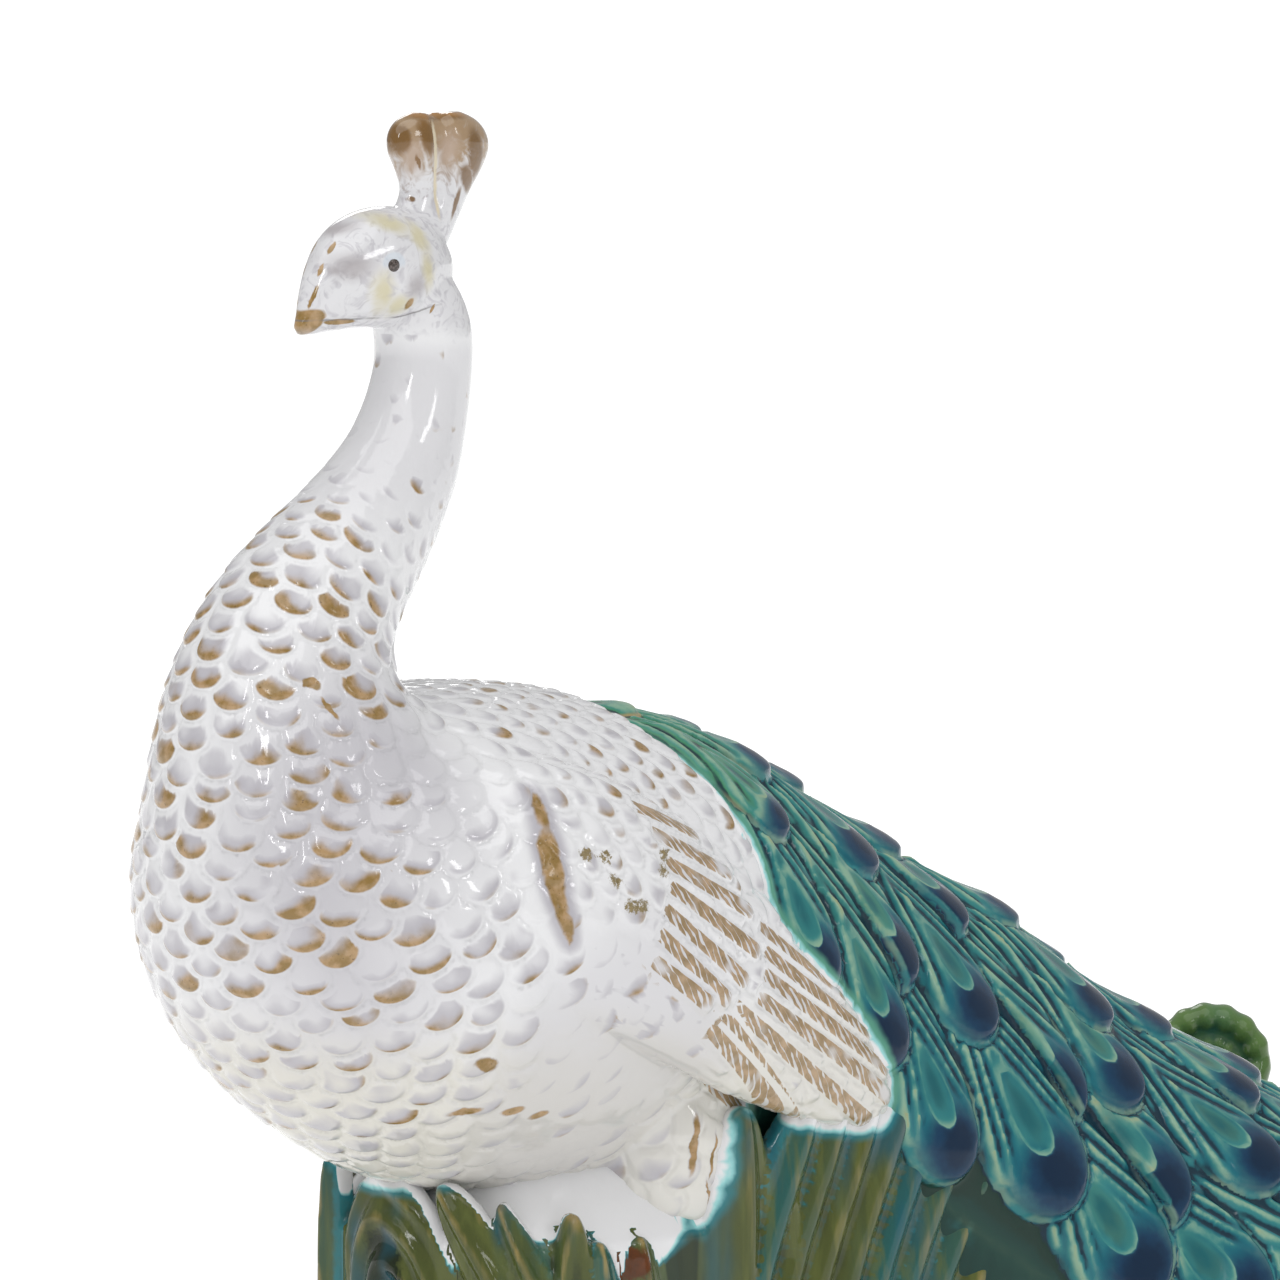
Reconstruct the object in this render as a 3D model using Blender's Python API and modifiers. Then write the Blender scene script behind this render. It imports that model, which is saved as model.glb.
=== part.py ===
"""A glazed ceramic peacock standing on a bank of leaves, cast in one piece.

The bird faces -X and its train runs towards +X. +Z is up and the floor is z = 0. The stations
below are the drawing's millimetres. UNIT turns them into metres along each axis.
"""

import math

import bmesh
import bpy
import numpy as np
from mathutils import Vector

LENGTH = 0.549
WIDTH = 0.219
HEIGHT = 0.4165
# The drawn figure's size, and the middle of its length and width, which becomes x = 0, y = 0
DRAWN = (549.4, 219.6, 416.5)
MIDDLE_X = -139.75
MIDDLE_Y = 18.6
UNIT = Vector((LENGTH / DRAWN[0], WIDTH / DRAWN[1], HEIGHT / DRAWN[2]))

# The bank of leaves. Its side leans in by BANK_SLOPE from the floor up to BANK_FLARE_TOP, and its
# solid middle ends at STUMP_END, where the train's own middle takes over.
BANK_HEIGHT = 106.0
BANK_SLOPE = 15.0
BANK_FLARE_TOP = 58.0
BANK_SHOULDER = 16.0
BANK_OVERLAP = 2.0
STUMP_END = 150.0
BLADE_COUNT = 34
BLADE_WIDTH = 25.0
BLADE_THICKNESS = 11.0
BLADE_RIDGE = 0.35
BLADES_END = 262.0
# Blades fan out from BLADE_CENTRE_X: a root stands at this share of its tip's distance from there.
BLADE_CENTRE_X = 20.0
BLADE_SPREAD = 0.74
BLADE_HEIGHTS = (1.0, 0.76, 0.92, 0.62)
BLADE_STAND_OFF = (1.0, 3.5)
# How far the clay runs below the floor before the foot is cut flat
FOOT_SINK = 8.0
RECESS_DEPTH = 2.5
RECESS_RIM = 14.0

# Train feathers: their tips keep FEATHER_PITCH along and FEATHER_SPACING across from each other.
FEATHER_LENGTH = 92.0
FEATHER_WIDTH = 27.0
FEATHER_LIFT = 5.5
FEATHER_CROWN = 0.45
FEATHER_SINK = 3.5
FEATHER_PITCH = 44.0
FEATHER_SPACING = 27.0
# The smallest feathers, on the back, and the train row where they reach full size
FEATHER_LEAST = 0.62
FEATHER_FULL_ROW = 2.6

# The skin is pressed from cells of this size and then thinned to about this many triangles.
VOXEL = 2.4
SOLID_TRIANGLES = 9400

# Neck, from inside the breast to inside the head: x, z, half depth, half width
NECK = [
    (-80, 185, 53, 52),
    (-88, 215, 48.5, 47.5),
    (-93, 240, 40, 38.5),
    (-93, 254, 34, 32),
    (-88.5, 267, 29, 27.5),
    (-80, 279, 25, 24),
    (-67.6, 291.5, 22, 21),
    (-57, 303, 19.6, 18.6),
    (-48.4, 315, 17.6, 16.8),
    (-42.8, 328, 15.8, 15.2),
    (-39.6, 341, 14.9, 14.2),
    (-39.8, 353, 14.8, 14),
    (-45, 364, 13, 12.4),
    (-50, 371, 9, 9),
]

# Body, from the breast to below the train: x, top z, bottom z, half width
BODY = [
    (-135, 205, 185, 8),
    (-131, 222, 170, 22),
    (-122, 235, 152, 36.5),
    (-108, 243, 135, 50),
    (-88, 247, 119, 61.5),
    (-62, 248.5, 104, 69),
    (-30, 247.5, 94, 72.5),
    (5, 243, 91, 71),
    (40, 234, 95, 66),
    (75, 222, 108, 55),
    (105, 205, 130, 38),
    (125, 188, 158, 14),
]

# Head, from the nape to the tip of the bill: x, z, half height, half width
HEAD = [
    (-32, 374, 4, 4),
    (-35, 373, 9.5, 8),
    (-41, 372, 13.5, 11.5),
    (-50, 372, 17, 13.9),
    (-59, 371.5, 17.6, 14),
    (-67, 369.2, 16.6, 12.4),
    (-74, 365.4, 13.4, 9.4),
    (-80, 361, 9.2, 6.6),
    (-85, 357, 4.8, 4.0),
    (-89.2, 354.2, 1.6, 1.5),
]

# Crest, a fan that flares upwards: x, z, half depth, half width
CREST = [
    (-43, 378, 12, 7),
    (-38.5, 386, 12.5, 6.6),
    (-34.5, 393, 13, 6.2),
    (-33, 399, 16, 6.6),
    (-33, 405, 19, 7.4),
    (-33.5, 410, 18.5, 7.4),
    (-34, 414, 15, 6),
    (-34, 416.5, 9, 3),
]

# Left wing, from the shoulder to the tip: x, outward y, z, half breadth, half thickness
WING = [
    (-80, 40, 214, 10, 8),
    (-70, 48, 209, 24, 13),
    (-52, 55, 200, 33, 16),
    (-26, 61, 187, 36, 16),
    (4, 64, 170, 34, 14),
    (34, 65, 152, 30, 12),
    (60, 66, 135, 23, 10),
    (78, 66, 122, 14, 8),
    (89, 65.5, 113, 5, 4.5),
]
WING_BREADTH_LEAN = 0.22

# Train: the ridge's x, y, z, then the lower edge's x, half width, z
TRAIN = [
    (8, 0, 238, 8, 46, 214),
    (36, 0, 233, 30, 58, 190),
    (66, 0, 223, 55, 66, 152),
    (104, 0, 204, 84, 69, 112),
    (146, -2, 181, 114, 71, 80),
    (187, -5, 160, 150, 75, 54),
    (228, -8, 132, 190, 82, 36),
    (270, -12, 109, 234, 92, 24),
    (310, -16, 87, 280, 101, 15),
    (350, -19, 73, 326, 106, 10),
    (384, -21, 56, 366, 100, 6),
    (404, -22, 34, 390, 84, 3),
    (415, -22, 16, 403, 56, 1),
]
# The train's foot, as a share of its half width
TRAIN_FLOOR_SHARE = 0.93
# How feathers turn from the ridge's direction towards the edge: train row, degrees
SWEEP = [(0, 42), (4, 42), (7, 24), (12, 10)]
SWEEP_FULL_V = 0.35
# Feather tips that the figure shows on its left: the train's row, and v from the ridge to the edge
SHOWN_TIPS = [
    (1.9, -0.61),
    (2.35, -0.28),
    (3.2, -0.44),
    (3.3, -0.69),
    (4.2, -0.41),
    (4.2, -0.66),
    (5.05, -0.88),
    (5.2, -0.17),
    (5.65, -0.42),
    (6.05, -0.80),
    (6.55, -0.26),
    (6.95, -0.64),
]
FIRST_TIP, LAST_TIP = 1.1, 12.1

# The bank's outline on the floor: x, y on the near side, y on the far side
BANK_PLAN = [
    (-70, 0, 0),
    (-66, -28, 28),
    (-52, -52, 51),
    (-22, -68, 66),
    (20, -75, 73),
    (70, -78, 76),
    (120, -80, 77),
    (170, -84, 78),
    (220, -92, 79),
    (270, -104, 81),
    (320, -115, 80),
    (362, -113, 73),
    (390, -98, 55),
    (404, -68, 24),
    (408, -22, -22),
]

# How high the bank's leaves reach: x, z
LEAF_TOPS = [(-70, 94), (-50, 104), (60, 106), (100, 98), (130, 82), (165, 60), (210, 44), (270, 30)]

# Thighs: x, outward y, z, half length, half width, half height
THIGH = (22, 36, 108, 26, 27, 38)
# Shanks: x, outward y, radius and the height where they enter the thigh
SHANK = (30, 27, 7, 90)

SCROLL_TURNS = 1.3
# What the roll loses of its radius from its outside to its end
SCROLL_SHRINK = 0.62
# Fern scrolls: foot, middle of the roll, its radius and the heading of its plane in degrees
SCROLLS = [
    ((372, 62, -8), (393, 62, 75), 19, -40),
    ((214, 72, -8), (232, 79, 56), 14, 10),
    ((34, 68, -8), (14, 77, 42), 13, 185),
]


def catmull(rows, t):
    """A smooth curve through equally spaced rows of numbers. t runs from 0 to the last row's index."""
    rows = np.asarray(rows, float)
    last = len(rows) - 1
    i = int(min(max(math.floor(t), 0), last - 1))
    f = t - i
    before = rows[i - 1] if i > 0 else 2 * rows[0] - rows[1]
    after = rows[i + 2] if i + 2 <= last else 2 * rows[last] - rows[last - 1]
    here, there = rows[i], rows[i + 1]
    return 0.5 * (
        2 * here
        + (there - before) * f
        + (2 * before - 5 * here + 4 * there - after) * f * f
        + (3 * here - before - 3 * there + after) * f**3
    )


def finer(rows, steps):
    """The smooth curve through the rows, with this many steps between two of them."""
    count = (len(rows) - 1) * steps
    return [catmull(rows, k / steps) for k in range(count + 1)]


def clay(bm, rings):
    """Adds a closed skin through rings of points in drawing millimetres, capped at both ends."""
    count = len(rings[0])
    made = [[bm.verts.new(Vector(p) * UNIT) for p in ring] for ring in rings]
    for low, high in zip(made, made[1:]):
        for k in range(count):
            n = (k + 1) % count
            bm.faces.new((low[k], low[n], high[n], high[k]))
    bm.faces.new(list(reversed(made[0])))
    bm.faces.new(made[-1])


def around(count):
    """Angles of a full turn."""
    return [2 * math.pi * k / count for k in range(count)]


def tube_rings(rows, sides=20):
    """Rings square to a path in the plane y = 0. Each row is x, z, half depth, half width."""
    rows = [np.asarray(r) for r in rows]
    rings = []
    for k, (x, z, depth, width) in enumerate(rows):
        ahead, behind = rows[min(k + 1, len(rows) - 1)], rows[max(k - 1, 0)]
        along = Vector((ahead[0] - behind[0], 0, ahead[1] - behind[1])).normalized()
        across = Vector((along.z, 0, -along.x))
        centre = Vector((x, 0, z))
        rings.append(
            [
                centre + across * depth * math.cos(a) + Vector((0, width * math.sin(a), 0))
                for a in around(sides)
            ]
        )
    return rings


def add_body(bm):
    rings = []
    for x, top, bottom, width in finer(BODY, 3):
        middle, half = (top + bottom) / 2, (top - bottom) / 2
        rings.append([(x, width * math.cos(a), middle + half * math.sin(a)) for a in around(28)])
    clay(bm, rings)


def add_neck(bm):
    clay(bm, tube_rings(finer(NECK, 2)))


def add_head(bm):
    clay(bm, tube_rings(finer(HEAD, 3), 18))


def add_crest(bm):
    rings = [
        [(x + depth * math.cos(a), width * math.sin(a), z) for a in around(20)]
        for x, z, depth, width in finer(CREST, 2)
    ]
    clay(bm, rings)


def add_wing(bm, side):
    """The folded wing on the side y > 0 (side 1) or y < 0 (side -1)."""
    rows = finer(WING, 3)
    rings = []
    for k, (x, y, z, breadth, thick) in enumerate(rows):
        ahead, behind = rows[min(k + 1, len(rows) - 1)], rows[max(k - 1, 0)]
        along = Vector((ahead[0] - behind[0], 0, ahead[2] - behind[2])).normalized()
        across = Vector((-along.z, -WING_BREADTH_LEAN, along.x)).normalized()
        outward = along.cross(across)
        ring = []
        for a in around(20):
            p = (
                Vector((x, y, z))
                + across * breadth * math.cos(a)
                + outward * thick * math.sin(a)
            )
            ring.append((p.x, side * p.y, p.z))
        rings.append(ring)
    clay(bm, rings)


def add_leg(bm, side):
    """A thigh below the belly, and the shank that goes down into the leaves."""
    x, y, z, length, width, height = THIGH
    rings = []
    for k in range(1, 12):
        polar = math.pi * k / 12
        reach = math.sin(polar)
        ring = []
        for a in around(16):
            out = y + width * reach * math.sin(a)
            ring.append((x + length * reach * math.cos(a), side * out, z - height * math.cos(polar)))
        rings.append(ring)
    clay(bm, rings)
    x, y, radius, top = SHANK
    rings = []
    for z in (0, top / 3, 2 * top / 3, top):
        rings.append([(x + radius * math.cos(a), side * y + radius * math.sin(a), z) for a in around(12)])
    clay(bm, rings)


def train_point(u, v):
    """A point of the train's skin. u counts TRAIN's rows, and v runs from -1, the left edge, to 1."""
    rx, ry, rz, ex, half, ez = catmull(TRAIN, u)
    angle = v * math.pi / 2
    side, up = math.sin(angle), math.cos(angle)
    share = 1 - up
    return Vector((rx + (ex - rx) * share, ry + half * side, ez + (rz - ez) * up))


def train_frame(u, v):
    """The skin's point and its unit normal, with the lengths of a step along u and along v."""
    step = 0.02
    p = train_point(u, v)
    along = (train_point(u + step, v) - train_point(u - step, v)) / (2 * step)
    across = (train_point(u, v + step) - train_point(u, v - step)) / (2 * step)
    return p, along.cross(across).normalized(), along.length, across.length


def add_train_core(bm):
    rings = []
    for k in range(2 * (len(TRAIN) - 1) + 1):
        skin = [train_point(k / 2, -1 + 2 * j / 18) for j in range(19)]
        middle = skin[9].y
        low = []
        for p in (skin[-1], skin[12], skin[6], skin[0]):
            y = middle + (p.y - middle) * TRAIN_FLOOR_SHARE
            low.append(Vector((p.x, y, -FOOT_SINK)))
        rings.append(skin + low)
    clay(bm, rings)


def feather_half_width(s):
    """Half width of a train feather, at s from 0 at its rounded tip to 1 at its root."""
    tip = 0.13
    if s < tip:
        return math.sqrt(max(0.0, 1 - (1 - s / tip) ** 2)) * 0.93
    waist = (s - tip) / (1 - tip)
    return 0.93 + 0.16 * math.sin(math.pi * min(1.0, waist * 1.5)) - 0.55 * waist**2


def sweep(u, v):
    """How far a feather turns from the ridge's direction towards the train's edge, in radians."""
    steep = np.interp(u, [row for row, _ in SWEEP], [turn for _, turn in SWEEP])
    return math.copysign(math.radians(steep) * min(1.0, abs(v) / SWEEP_FULL_V), v)


def upstream(u, v, length):
    """The place on the skin that lies this length up a feather from u, v."""
    steps = max(1, math.ceil(length / 4))
    for _ in range(steps):
        _, _, along, across = train_frame(u, v)
        turn = sweep(u, v)
        u -= math.cos(turn) * length / steps / along
        v -= math.sin(turn) * length / steps / across
    return u, v


def add_train_feather(bm, u_tip, v_tip, scale):
    """One train feather: a shallow shingle that follows the skin, highest at its rounded tip."""
    length, half = FEATHER_LENGTH * scale, FEATHER_WIDTH * scale / 2
    rings = []
    for k in range(9):
        s = (k / 8) ** 1.4
        u, v = upstream(u_tip, v_tip, s * length)
        _, _, along, across = train_frame(u, v)
        turn = sweep(u, v)
        width = max(half * feather_half_width(max(s, 0.006)), 0.8)
        lift = FEATHER_LIFT * scale * (1 - s) * (0.55 if k == 0 else 1)
        top, low = [], []
        for j in range(7):
            t = -1 + 2 * j / 6
            beside_u = u - math.sin(turn) * t * width / along
            beside_v = v + math.cos(turn) * t * width / across
            p, normal, _, _ = train_frame(beside_u, beside_v)
            top.append(p + normal * lift * (1 - FEATHER_CROWN * t * t))
            low.append(p - normal * FEATHER_SINK)
        rings.append(top + low[::-1])
    clay(bm, rings)


def train_tips():
    """(u, v) of every feather tip: the ones shown, their likes on the far side, and then as many
    more as fit between them, from the back to the train's end."""
    tips = SHOWN_TIPS + [(u + 0.25, -v) for u, v in SHOWN_TIPS]
    for i in range(round((LAST_TIP - FIRST_TIP) / 0.22) + 1):
        for j in range(-16, 17):
            u, v = FIRST_TIP + 0.22 * i, 0.06 * j
            _, _, along, across = train_frame(u, v)
            apart = [
                math.hypot((u - a) * along / FEATHER_PITCH, (v - b) * across / FEATHER_SPACING)
                for a, b in tips
            ]
            if min(apart) > 1.0:
                tips.append((u, v))
    return sorted(tips, reverse=True)


def add_train(bm):
    add_train_core(bm)
    for u, v in train_tips():
        grown = (u - FIRST_TIP) / (FEATHER_FULL_ROW - FIRST_TIP)
        add_train_feather(bm, u, v, min(1.0, FEATHER_LEAST + (1 - FEATHER_LEAST) * grown))


def bank_plan(t):
    """The bank's edge on the floor and its outward direction. t runs from -1, the near side's end,
    through 0 at the front to 1, the far side's end."""
    line = [(x, near) for x, near, _ in BANK_PLAN[:0:-1]] + [(x, far) for x, _, far in BANK_PLAN]
    place = (t + 1) / 2 * (len(line) - 1)
    here, ahead, behind = (catmull(line, place + step) for step in (0, 0.05, -0.05))
    along = Vector((ahead[0] - behind[0], ahead[1] - behind[1])).normalized()
    return Vector((here[0], here[1])), Vector((-along.y, along.x))


def bank_point(t, z, raised=0.0):
    """A point of the bank's side at the height z, or raised above it, and its outward direction."""
    edge, out = bank_plan(t)
    inset = BANK_SLOPE * math.sin(min(1.0, max(0.0, z) / BANK_FLARE_TOP) * math.pi / 2)
    p = edge + out * (raised - inset)
    return Vector((p.x, p.y, z)), Vector((out.x, out.y, 0))


def leaf_top(x):
    """How high the leaves reach at x."""
    return float(np.interp(x, [row[0] for row in LEAF_TOPS], [row[1] for row in LEAF_TOPS]))


def add_bank_core(bm):
    """The solid middle of the bank below the body. The train has a middle of its own."""
    places = [k / 60 for k in range(-60, 61) if bank_plan(k / 60)[0].x < STUMP_END]
    rings = []
    for z in (-FOOT_SINK, 0, 12, 28, 44, BANK_FLARE_TOP, 84):
        rings.append([bank_point(t, z, BANK_OVERLAP)[0] for t in places])
    rings.append([bank_point(t, BANK_HEIGHT, -BANK_SHOULDER)[0] for t in places])
    clay(bm, rings)


def add_blade(bm, t_root, t_top, top, width, stand_off):
    """A long leaf pressed on the bank's side, with a ridge along it and a tip that stands off."""
    steps = 10
    rings = []
    for k in range(steps + 1):
        s = 1 - (1 - k / steps) ** 1.5
        t = t_root + (t_top - t_root) * s**1.25
        z = -FOOT_SINK + (top + FOOT_SINK) * s
        p, out = bank_point(t, z, stand_off * s**3)
        level = Vector((-out.y, out.x, 0))
        drift = (t_top - t_root) / steps
        side_step = (bank_point(t + drift, z)[0] - bank_point(t, z)[0]).dot(level)
        heading = (Vector((0, 0, (top + FOOT_SINK) / steps)) + level * side_step).normalized()
        across = heading.cross(out).normalized()
        taper = math.sqrt(max(0.0, 1 - (max(0.0, s - 0.35) / 0.65) ** 2.4))
        half = width / 2 * (0.84 + 0.16 * math.sin(math.pi * min(1.0, s * 1.6))) * taper + 0.7
        thick = BLADE_THICKNESS / 2 * (0.35 + 0.65 * taper)
        ring = []
        for a in around(10):
            ridge = 1.0 + BLADE_RIDGE * max(0.0, math.sin(a)) ** 6
            ring.append(p + across * half * math.cos(a) + out * thick * ridge * math.sin(a))
        rings.append(ring)
    clay(bm, rings)


def blade_places():
    """t of the root and of the tip of every blade: evenly spaced tips, and roots drawn together
    below the middle of the body."""
    fine = [k / 800 for k in range(-800, 801)]
    edge = [(t, bank_plan(t)[0]) for t in fine]
    edge = [(t, p) for t, p in edge if p.x < BLADES_END]
    reach = [0.0]
    for (_, a), (_, b) in zip(edge, edge[1:]):
        reach.append(reach[-1] + (b - a).length)
    places = []
    for k in range(BLADE_COUNT):
        t_top = float(np.interp(reach[-1] * (k + 0.5) / BLADE_COUNT, reach, [t for t, _ in edge]))
        x = bank_plan(t_top)[0].x
        if x < BLADE_CENTRE_X:
            places.append((t_top * (1 + 0.10 * (BLADE_CENTRE_X - x) / 90), t_top))
            continue
        back = BLADE_CENTRE_X + (x - BLADE_CENTRE_X) * BLADE_SPREAD
        same_side = [(abs(p.x - back), t) for t, p in edge if t * t_top > 0]
        places.append((min(same_side)[1], t_top))
    return places


def add_blades(bm):
    """Leaves side by side along the bank, fanned out from the middle of the body, in four heights."""
    for k, (t_root, t_top) in enumerate(blade_places()):
        width = BLADE_WIDTH * (1 + 0.12 * math.sin(1.7 * k))
        top = leaf_top(bank_plan(t_top)[0].x) * BLADE_HEIGHTS[k % 4]
        add_blade(bm, t_root, t_top, top, width, BLADE_STAND_OFF[k % 2])


def add_scroll(bm, foot, middle, radius, heading):
    """A fern frond that rises from the bank and rolls up into a scroll."""
    middle, foot = Vector(middle), Vector(foot)
    turn = math.radians(heading)
    along = Vector((math.cos(turn), math.sin(turn), 0))
    side = Vector((-math.sin(turn), math.cos(turn), 0))
    start = middle + along * radius
    path = [(foot.lerp(start, k / 5), 8.0) for k in range(5)]
    for k in range(24):
        a = 2 * math.pi * SCROLL_TURNS * k / 23
        r = radius * (1 - SCROLL_SHRINK * k / 23)
        centre = middle + along * r * math.cos(a) + Vector((0, 0, r * math.sin(a)))
        path.append((centre, 7.0 - 2.6 * k / 23))
    rings = []
    for k, (p, half) in enumerate(path):
        ahead, behind = path[min(k + 1, len(path) - 1)][0], path[max(k - 1, 0)][0]
        up = (ahead - behind).cross(side).normalized()
        rings.append([p + side * half * math.cos(a) + up * half * 0.7 * math.sin(a) for a in around(10)])
    clay(bm, rings)
    # The web of clay that fills the roll
    flat = radius * 0.8
    rings = []
    for depth in (-3.5, 3.5):
        face = middle + side * depth
        disc = [along * flat * math.cos(a) + Vector((0, 0, flat * math.sin(a))) for a in around(16)]
        rings.append([face + spoke for spoke in disc])
    clay(bm, rings)


def add_all(bm):
    add_body(bm)
    add_neck(bm)
    add_head(bm)
    add_crest(bm)
    for side in (-1, 1):
        add_wing(bm, side)
        add_leg(bm, side)
    add_train(bm)
    add_bank_core(bm)
    add_blades(bm)
    for scroll in SCROLLS:
        add_scroll(bm, *scroll)


def material(name, colour, roughness):
    made = bpy.data.materials.new(name)
    made.use_nodes = True
    shader = made.node_tree.nodes["Principled BSDF"]
    shader.inputs["Base Color"].default_value = (*colour, 1)
    shader.inputs["Roughness"].default_value = roughness
    shader.inputs["Metallic"].default_value = 0.0
    return made


def cutter(name, outline, low, high, collection):
    """A closed prism that a Boolean takes away. It isn't part of the figure."""
    bm = bmesh.new()
    clay(bm, [[(x + MIDDLE_X, y + MIDDLE_Y, z) for x, y in outline] for z in (low, high)])
    bmesh.ops.recalc_face_normals(bm, faces=bm.faces)
    mesh = bpy.data.meshes.new(name)
    bm.to_mesh(mesh)
    bm.free()
    made = bpy.data.objects.new(name, mesh)
    collection.objects.link(made)
    made.hide_render = True
    made.display_type = "WIRE"
    return made


def take_away(target, tool):
    cut = target.modifiers.new("cut_" + tool.name, "BOOLEAN")
    cut.operation = "DIFFERENCE"
    cut.object = tool
    cut.solver = "EXACT"


def clay_mesh():
    """All the lumps of clay before they are pressed into one skin."""
    bm = bmesh.new()
    add_all(bm)
    bmesh.ops.recalc_face_normals(bm, faces=bm.faces)
    bmesh.ops.translate(bm, verts=bm.verts, vec=Vector((MIDDLE_X, MIDDLE_Y, 0)) * UNIT)
    mesh = bpy.data.meshes.new("peacock_figurine")
    bm.to_mesh(mesh)
    bm.free()
    return mesh


def triangle_count(obj):
    evaluated = obj.evaluated_get(bpy.context.evaluated_depsgraph_get())
    return sum(len(p.vertices) - 2 for p in evaluated.data.polygons)


def main():
    for old in list(bpy.data.objects):
        bpy.data.objects.remove(old)
    figure = bpy.data.collections.new("peacock figurine")
    cutters = bpy.data.collections.new("cutters")
    for collection in (figure, cutters):
        bpy.context.scene.collection.children.link(collection)

    peacock = bpy.data.objects.new("peacock_figurine", clay_mesh())
    figure.objects.link(peacock)
    peacock.data.materials.append(material("glazed ceramic", (0.86, 0.85, 0.83), 0.15))

    fuse = peacock.modifiers.new("fuse", "REMESH")
    fuse.mode = "VOXEL"
    fuse.voxel_size = VOXEL * UNIT.z
    soften = peacock.modifiers.new("soften", "SMOOTH")
    soften.factor = 0.5
    soften.iterations = 2
    bpy.context.view_layer.update()
    coarsen = peacock.modifiers.new("coarsen", "DECIMATE")
    coarsen.ratio = SOLID_TRIANGLES / triangle_count(peacock)

    reach, below = 700.0, -60.0
    corners = [(-reach, -reach), (reach, -reach), (reach, reach), (-reach, reach)]
    take_away(peacock, cutter("floor", corners, below, 0.0, cutters))
    rim = [edge - out * RECESS_RIM for edge, out in (bank_plan(k / 36) for k in range(-36, 36))]
    take_away(peacock, cutter("recess", rim, below / 3, RECESS_DEPTH, cutters))


main()
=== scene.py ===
"""Glazed ceramic peacock on a bank of leaves: its carved relief, its glazes and a plain studio.

Shapes are drawn in millimetres in the figure's drawing, which has the breast at negative x, the
train towards positive x and the floor at z = 0. placed() turns them into the frame's metres.
"""

import math

import bmesh
import bpy
import numpy as np
from bpy.props import FloatProperty, FloatVectorProperty, PointerProperty
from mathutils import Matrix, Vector
from mathutils.kdtree import KDTree


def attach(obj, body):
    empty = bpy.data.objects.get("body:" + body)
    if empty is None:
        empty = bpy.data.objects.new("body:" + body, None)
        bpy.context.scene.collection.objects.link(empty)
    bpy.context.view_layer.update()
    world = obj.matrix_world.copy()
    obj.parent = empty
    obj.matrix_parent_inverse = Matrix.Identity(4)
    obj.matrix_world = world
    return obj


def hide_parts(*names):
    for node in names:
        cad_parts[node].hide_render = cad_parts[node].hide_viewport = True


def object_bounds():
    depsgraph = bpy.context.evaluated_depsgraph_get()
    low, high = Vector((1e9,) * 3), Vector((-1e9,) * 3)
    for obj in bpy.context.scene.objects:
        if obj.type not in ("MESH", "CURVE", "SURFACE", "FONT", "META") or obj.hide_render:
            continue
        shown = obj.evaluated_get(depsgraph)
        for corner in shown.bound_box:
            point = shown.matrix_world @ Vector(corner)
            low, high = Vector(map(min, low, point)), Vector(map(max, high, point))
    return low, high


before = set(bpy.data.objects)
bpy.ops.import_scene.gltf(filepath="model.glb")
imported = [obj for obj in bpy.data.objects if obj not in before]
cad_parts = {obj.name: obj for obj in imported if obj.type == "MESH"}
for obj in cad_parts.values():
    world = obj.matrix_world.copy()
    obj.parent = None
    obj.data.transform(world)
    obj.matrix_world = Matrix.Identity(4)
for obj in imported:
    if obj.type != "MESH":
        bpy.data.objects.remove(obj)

bl_info = {
    "name": "Glazed peacock figurine",
    "version": (1, 0, 0),
    "blender": (4, 5, 0),
    "location": "3D View > Sidebar > Peacock",
    "description": "Builds a glazed ceramic peacock with carved feathers, its leaves and a studio",
    "category": "Add Mesh",
}

CAD_BOX = [list(corner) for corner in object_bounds()]
# The figure's box in its drawing, which lies on the frame's box
DRAWN_LOW = np.array([-134.94, -128.43, 0.0])
DRAWN_HIGH = np.array([414.67, 91.31, 416.42])
# The most triangles in a piece and in a scroll, and a scroll's cell size
TRIANGLE_LIMIT, SCROLL_TRIANGLES = 196000, 40000
SCROLL_CELL = 0.8
# Points lower than this lie on the floor.
FOOT_REACH = 0.8
# Glaze runs are followed this far from the bird.
FRINGE_REACH = 30.0

# Neck, from inside the breast to inside the head: x, z, half depth, half width
NECK = [
    (-80, 185, 53, 52), (-88, 215, 48.5, 47.5), (-93, 240, 40, 38.5), (-93, 254, 34, 32),
    (-88.5, 267, 29, 27.5), (-80, 279, 25, 24), (-67.6, 291.5, 22, 21), (-57, 303, 19.6, 18.6),
    (-48.4, 315, 17.6, 16.8), (-42.8, 328, 15.8, 15.2), (-39.6, 341, 14.9, 14.2),
    (-39.8, 353, 14.8, 14), (-45, 364, 13, 12.4), (-50, 371, 9, 9),
]

# Body, from the breast to below the train: x, top z, bottom z, half width
BODY = [
    (-135, 205, 185, 8), (-131, 222, 170, 22), (-122, 235, 152, 36.5), (-108, 243, 135, 50),
    (-88, 247, 119, 61.5), (-62, 248.5, 104, 69), (-30, 247.5, 94, 72.5), (5, 243, 91, 71),
    (40, 234, 95, 66), (75, 222, 108, 55), (105, 205, 130, 38), (125, 188, 158, 14),
]

# Head, from the nape to the tip of the bill: x, z, half height, half width
HEAD = [
    (-32, 374, 4, 4), (-35, 373, 9.5, 8), (-41, 372, 13.5, 11.5), (-50, 372, 17, 13.9),
    (-59, 371.5, 17.6, 14), (-67, 369.2, 16.6, 12.4), (-74, 365.4, 13.4, 9.4),
    (-80, 361, 9.2, 6.6), (-85, 357, 4.8, 4.0), (-89.2, 354.2, 1.6, 1.5),
]

# Crest, a fan that flares upwards: x, z, half depth, half width
CREST = [
    (-43, 378, 12, 7), (-38.5, 386, 12.5, 6.6), (-34.5, 393, 13, 6.2), (-33, 399, 16, 6.6),
    (-33, 405, 19, 7.4), (-33.5, 410, 18.5, 7.4), (-34, 414, 15, 6), (-34, 416.5, 9, 3),
]

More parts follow.
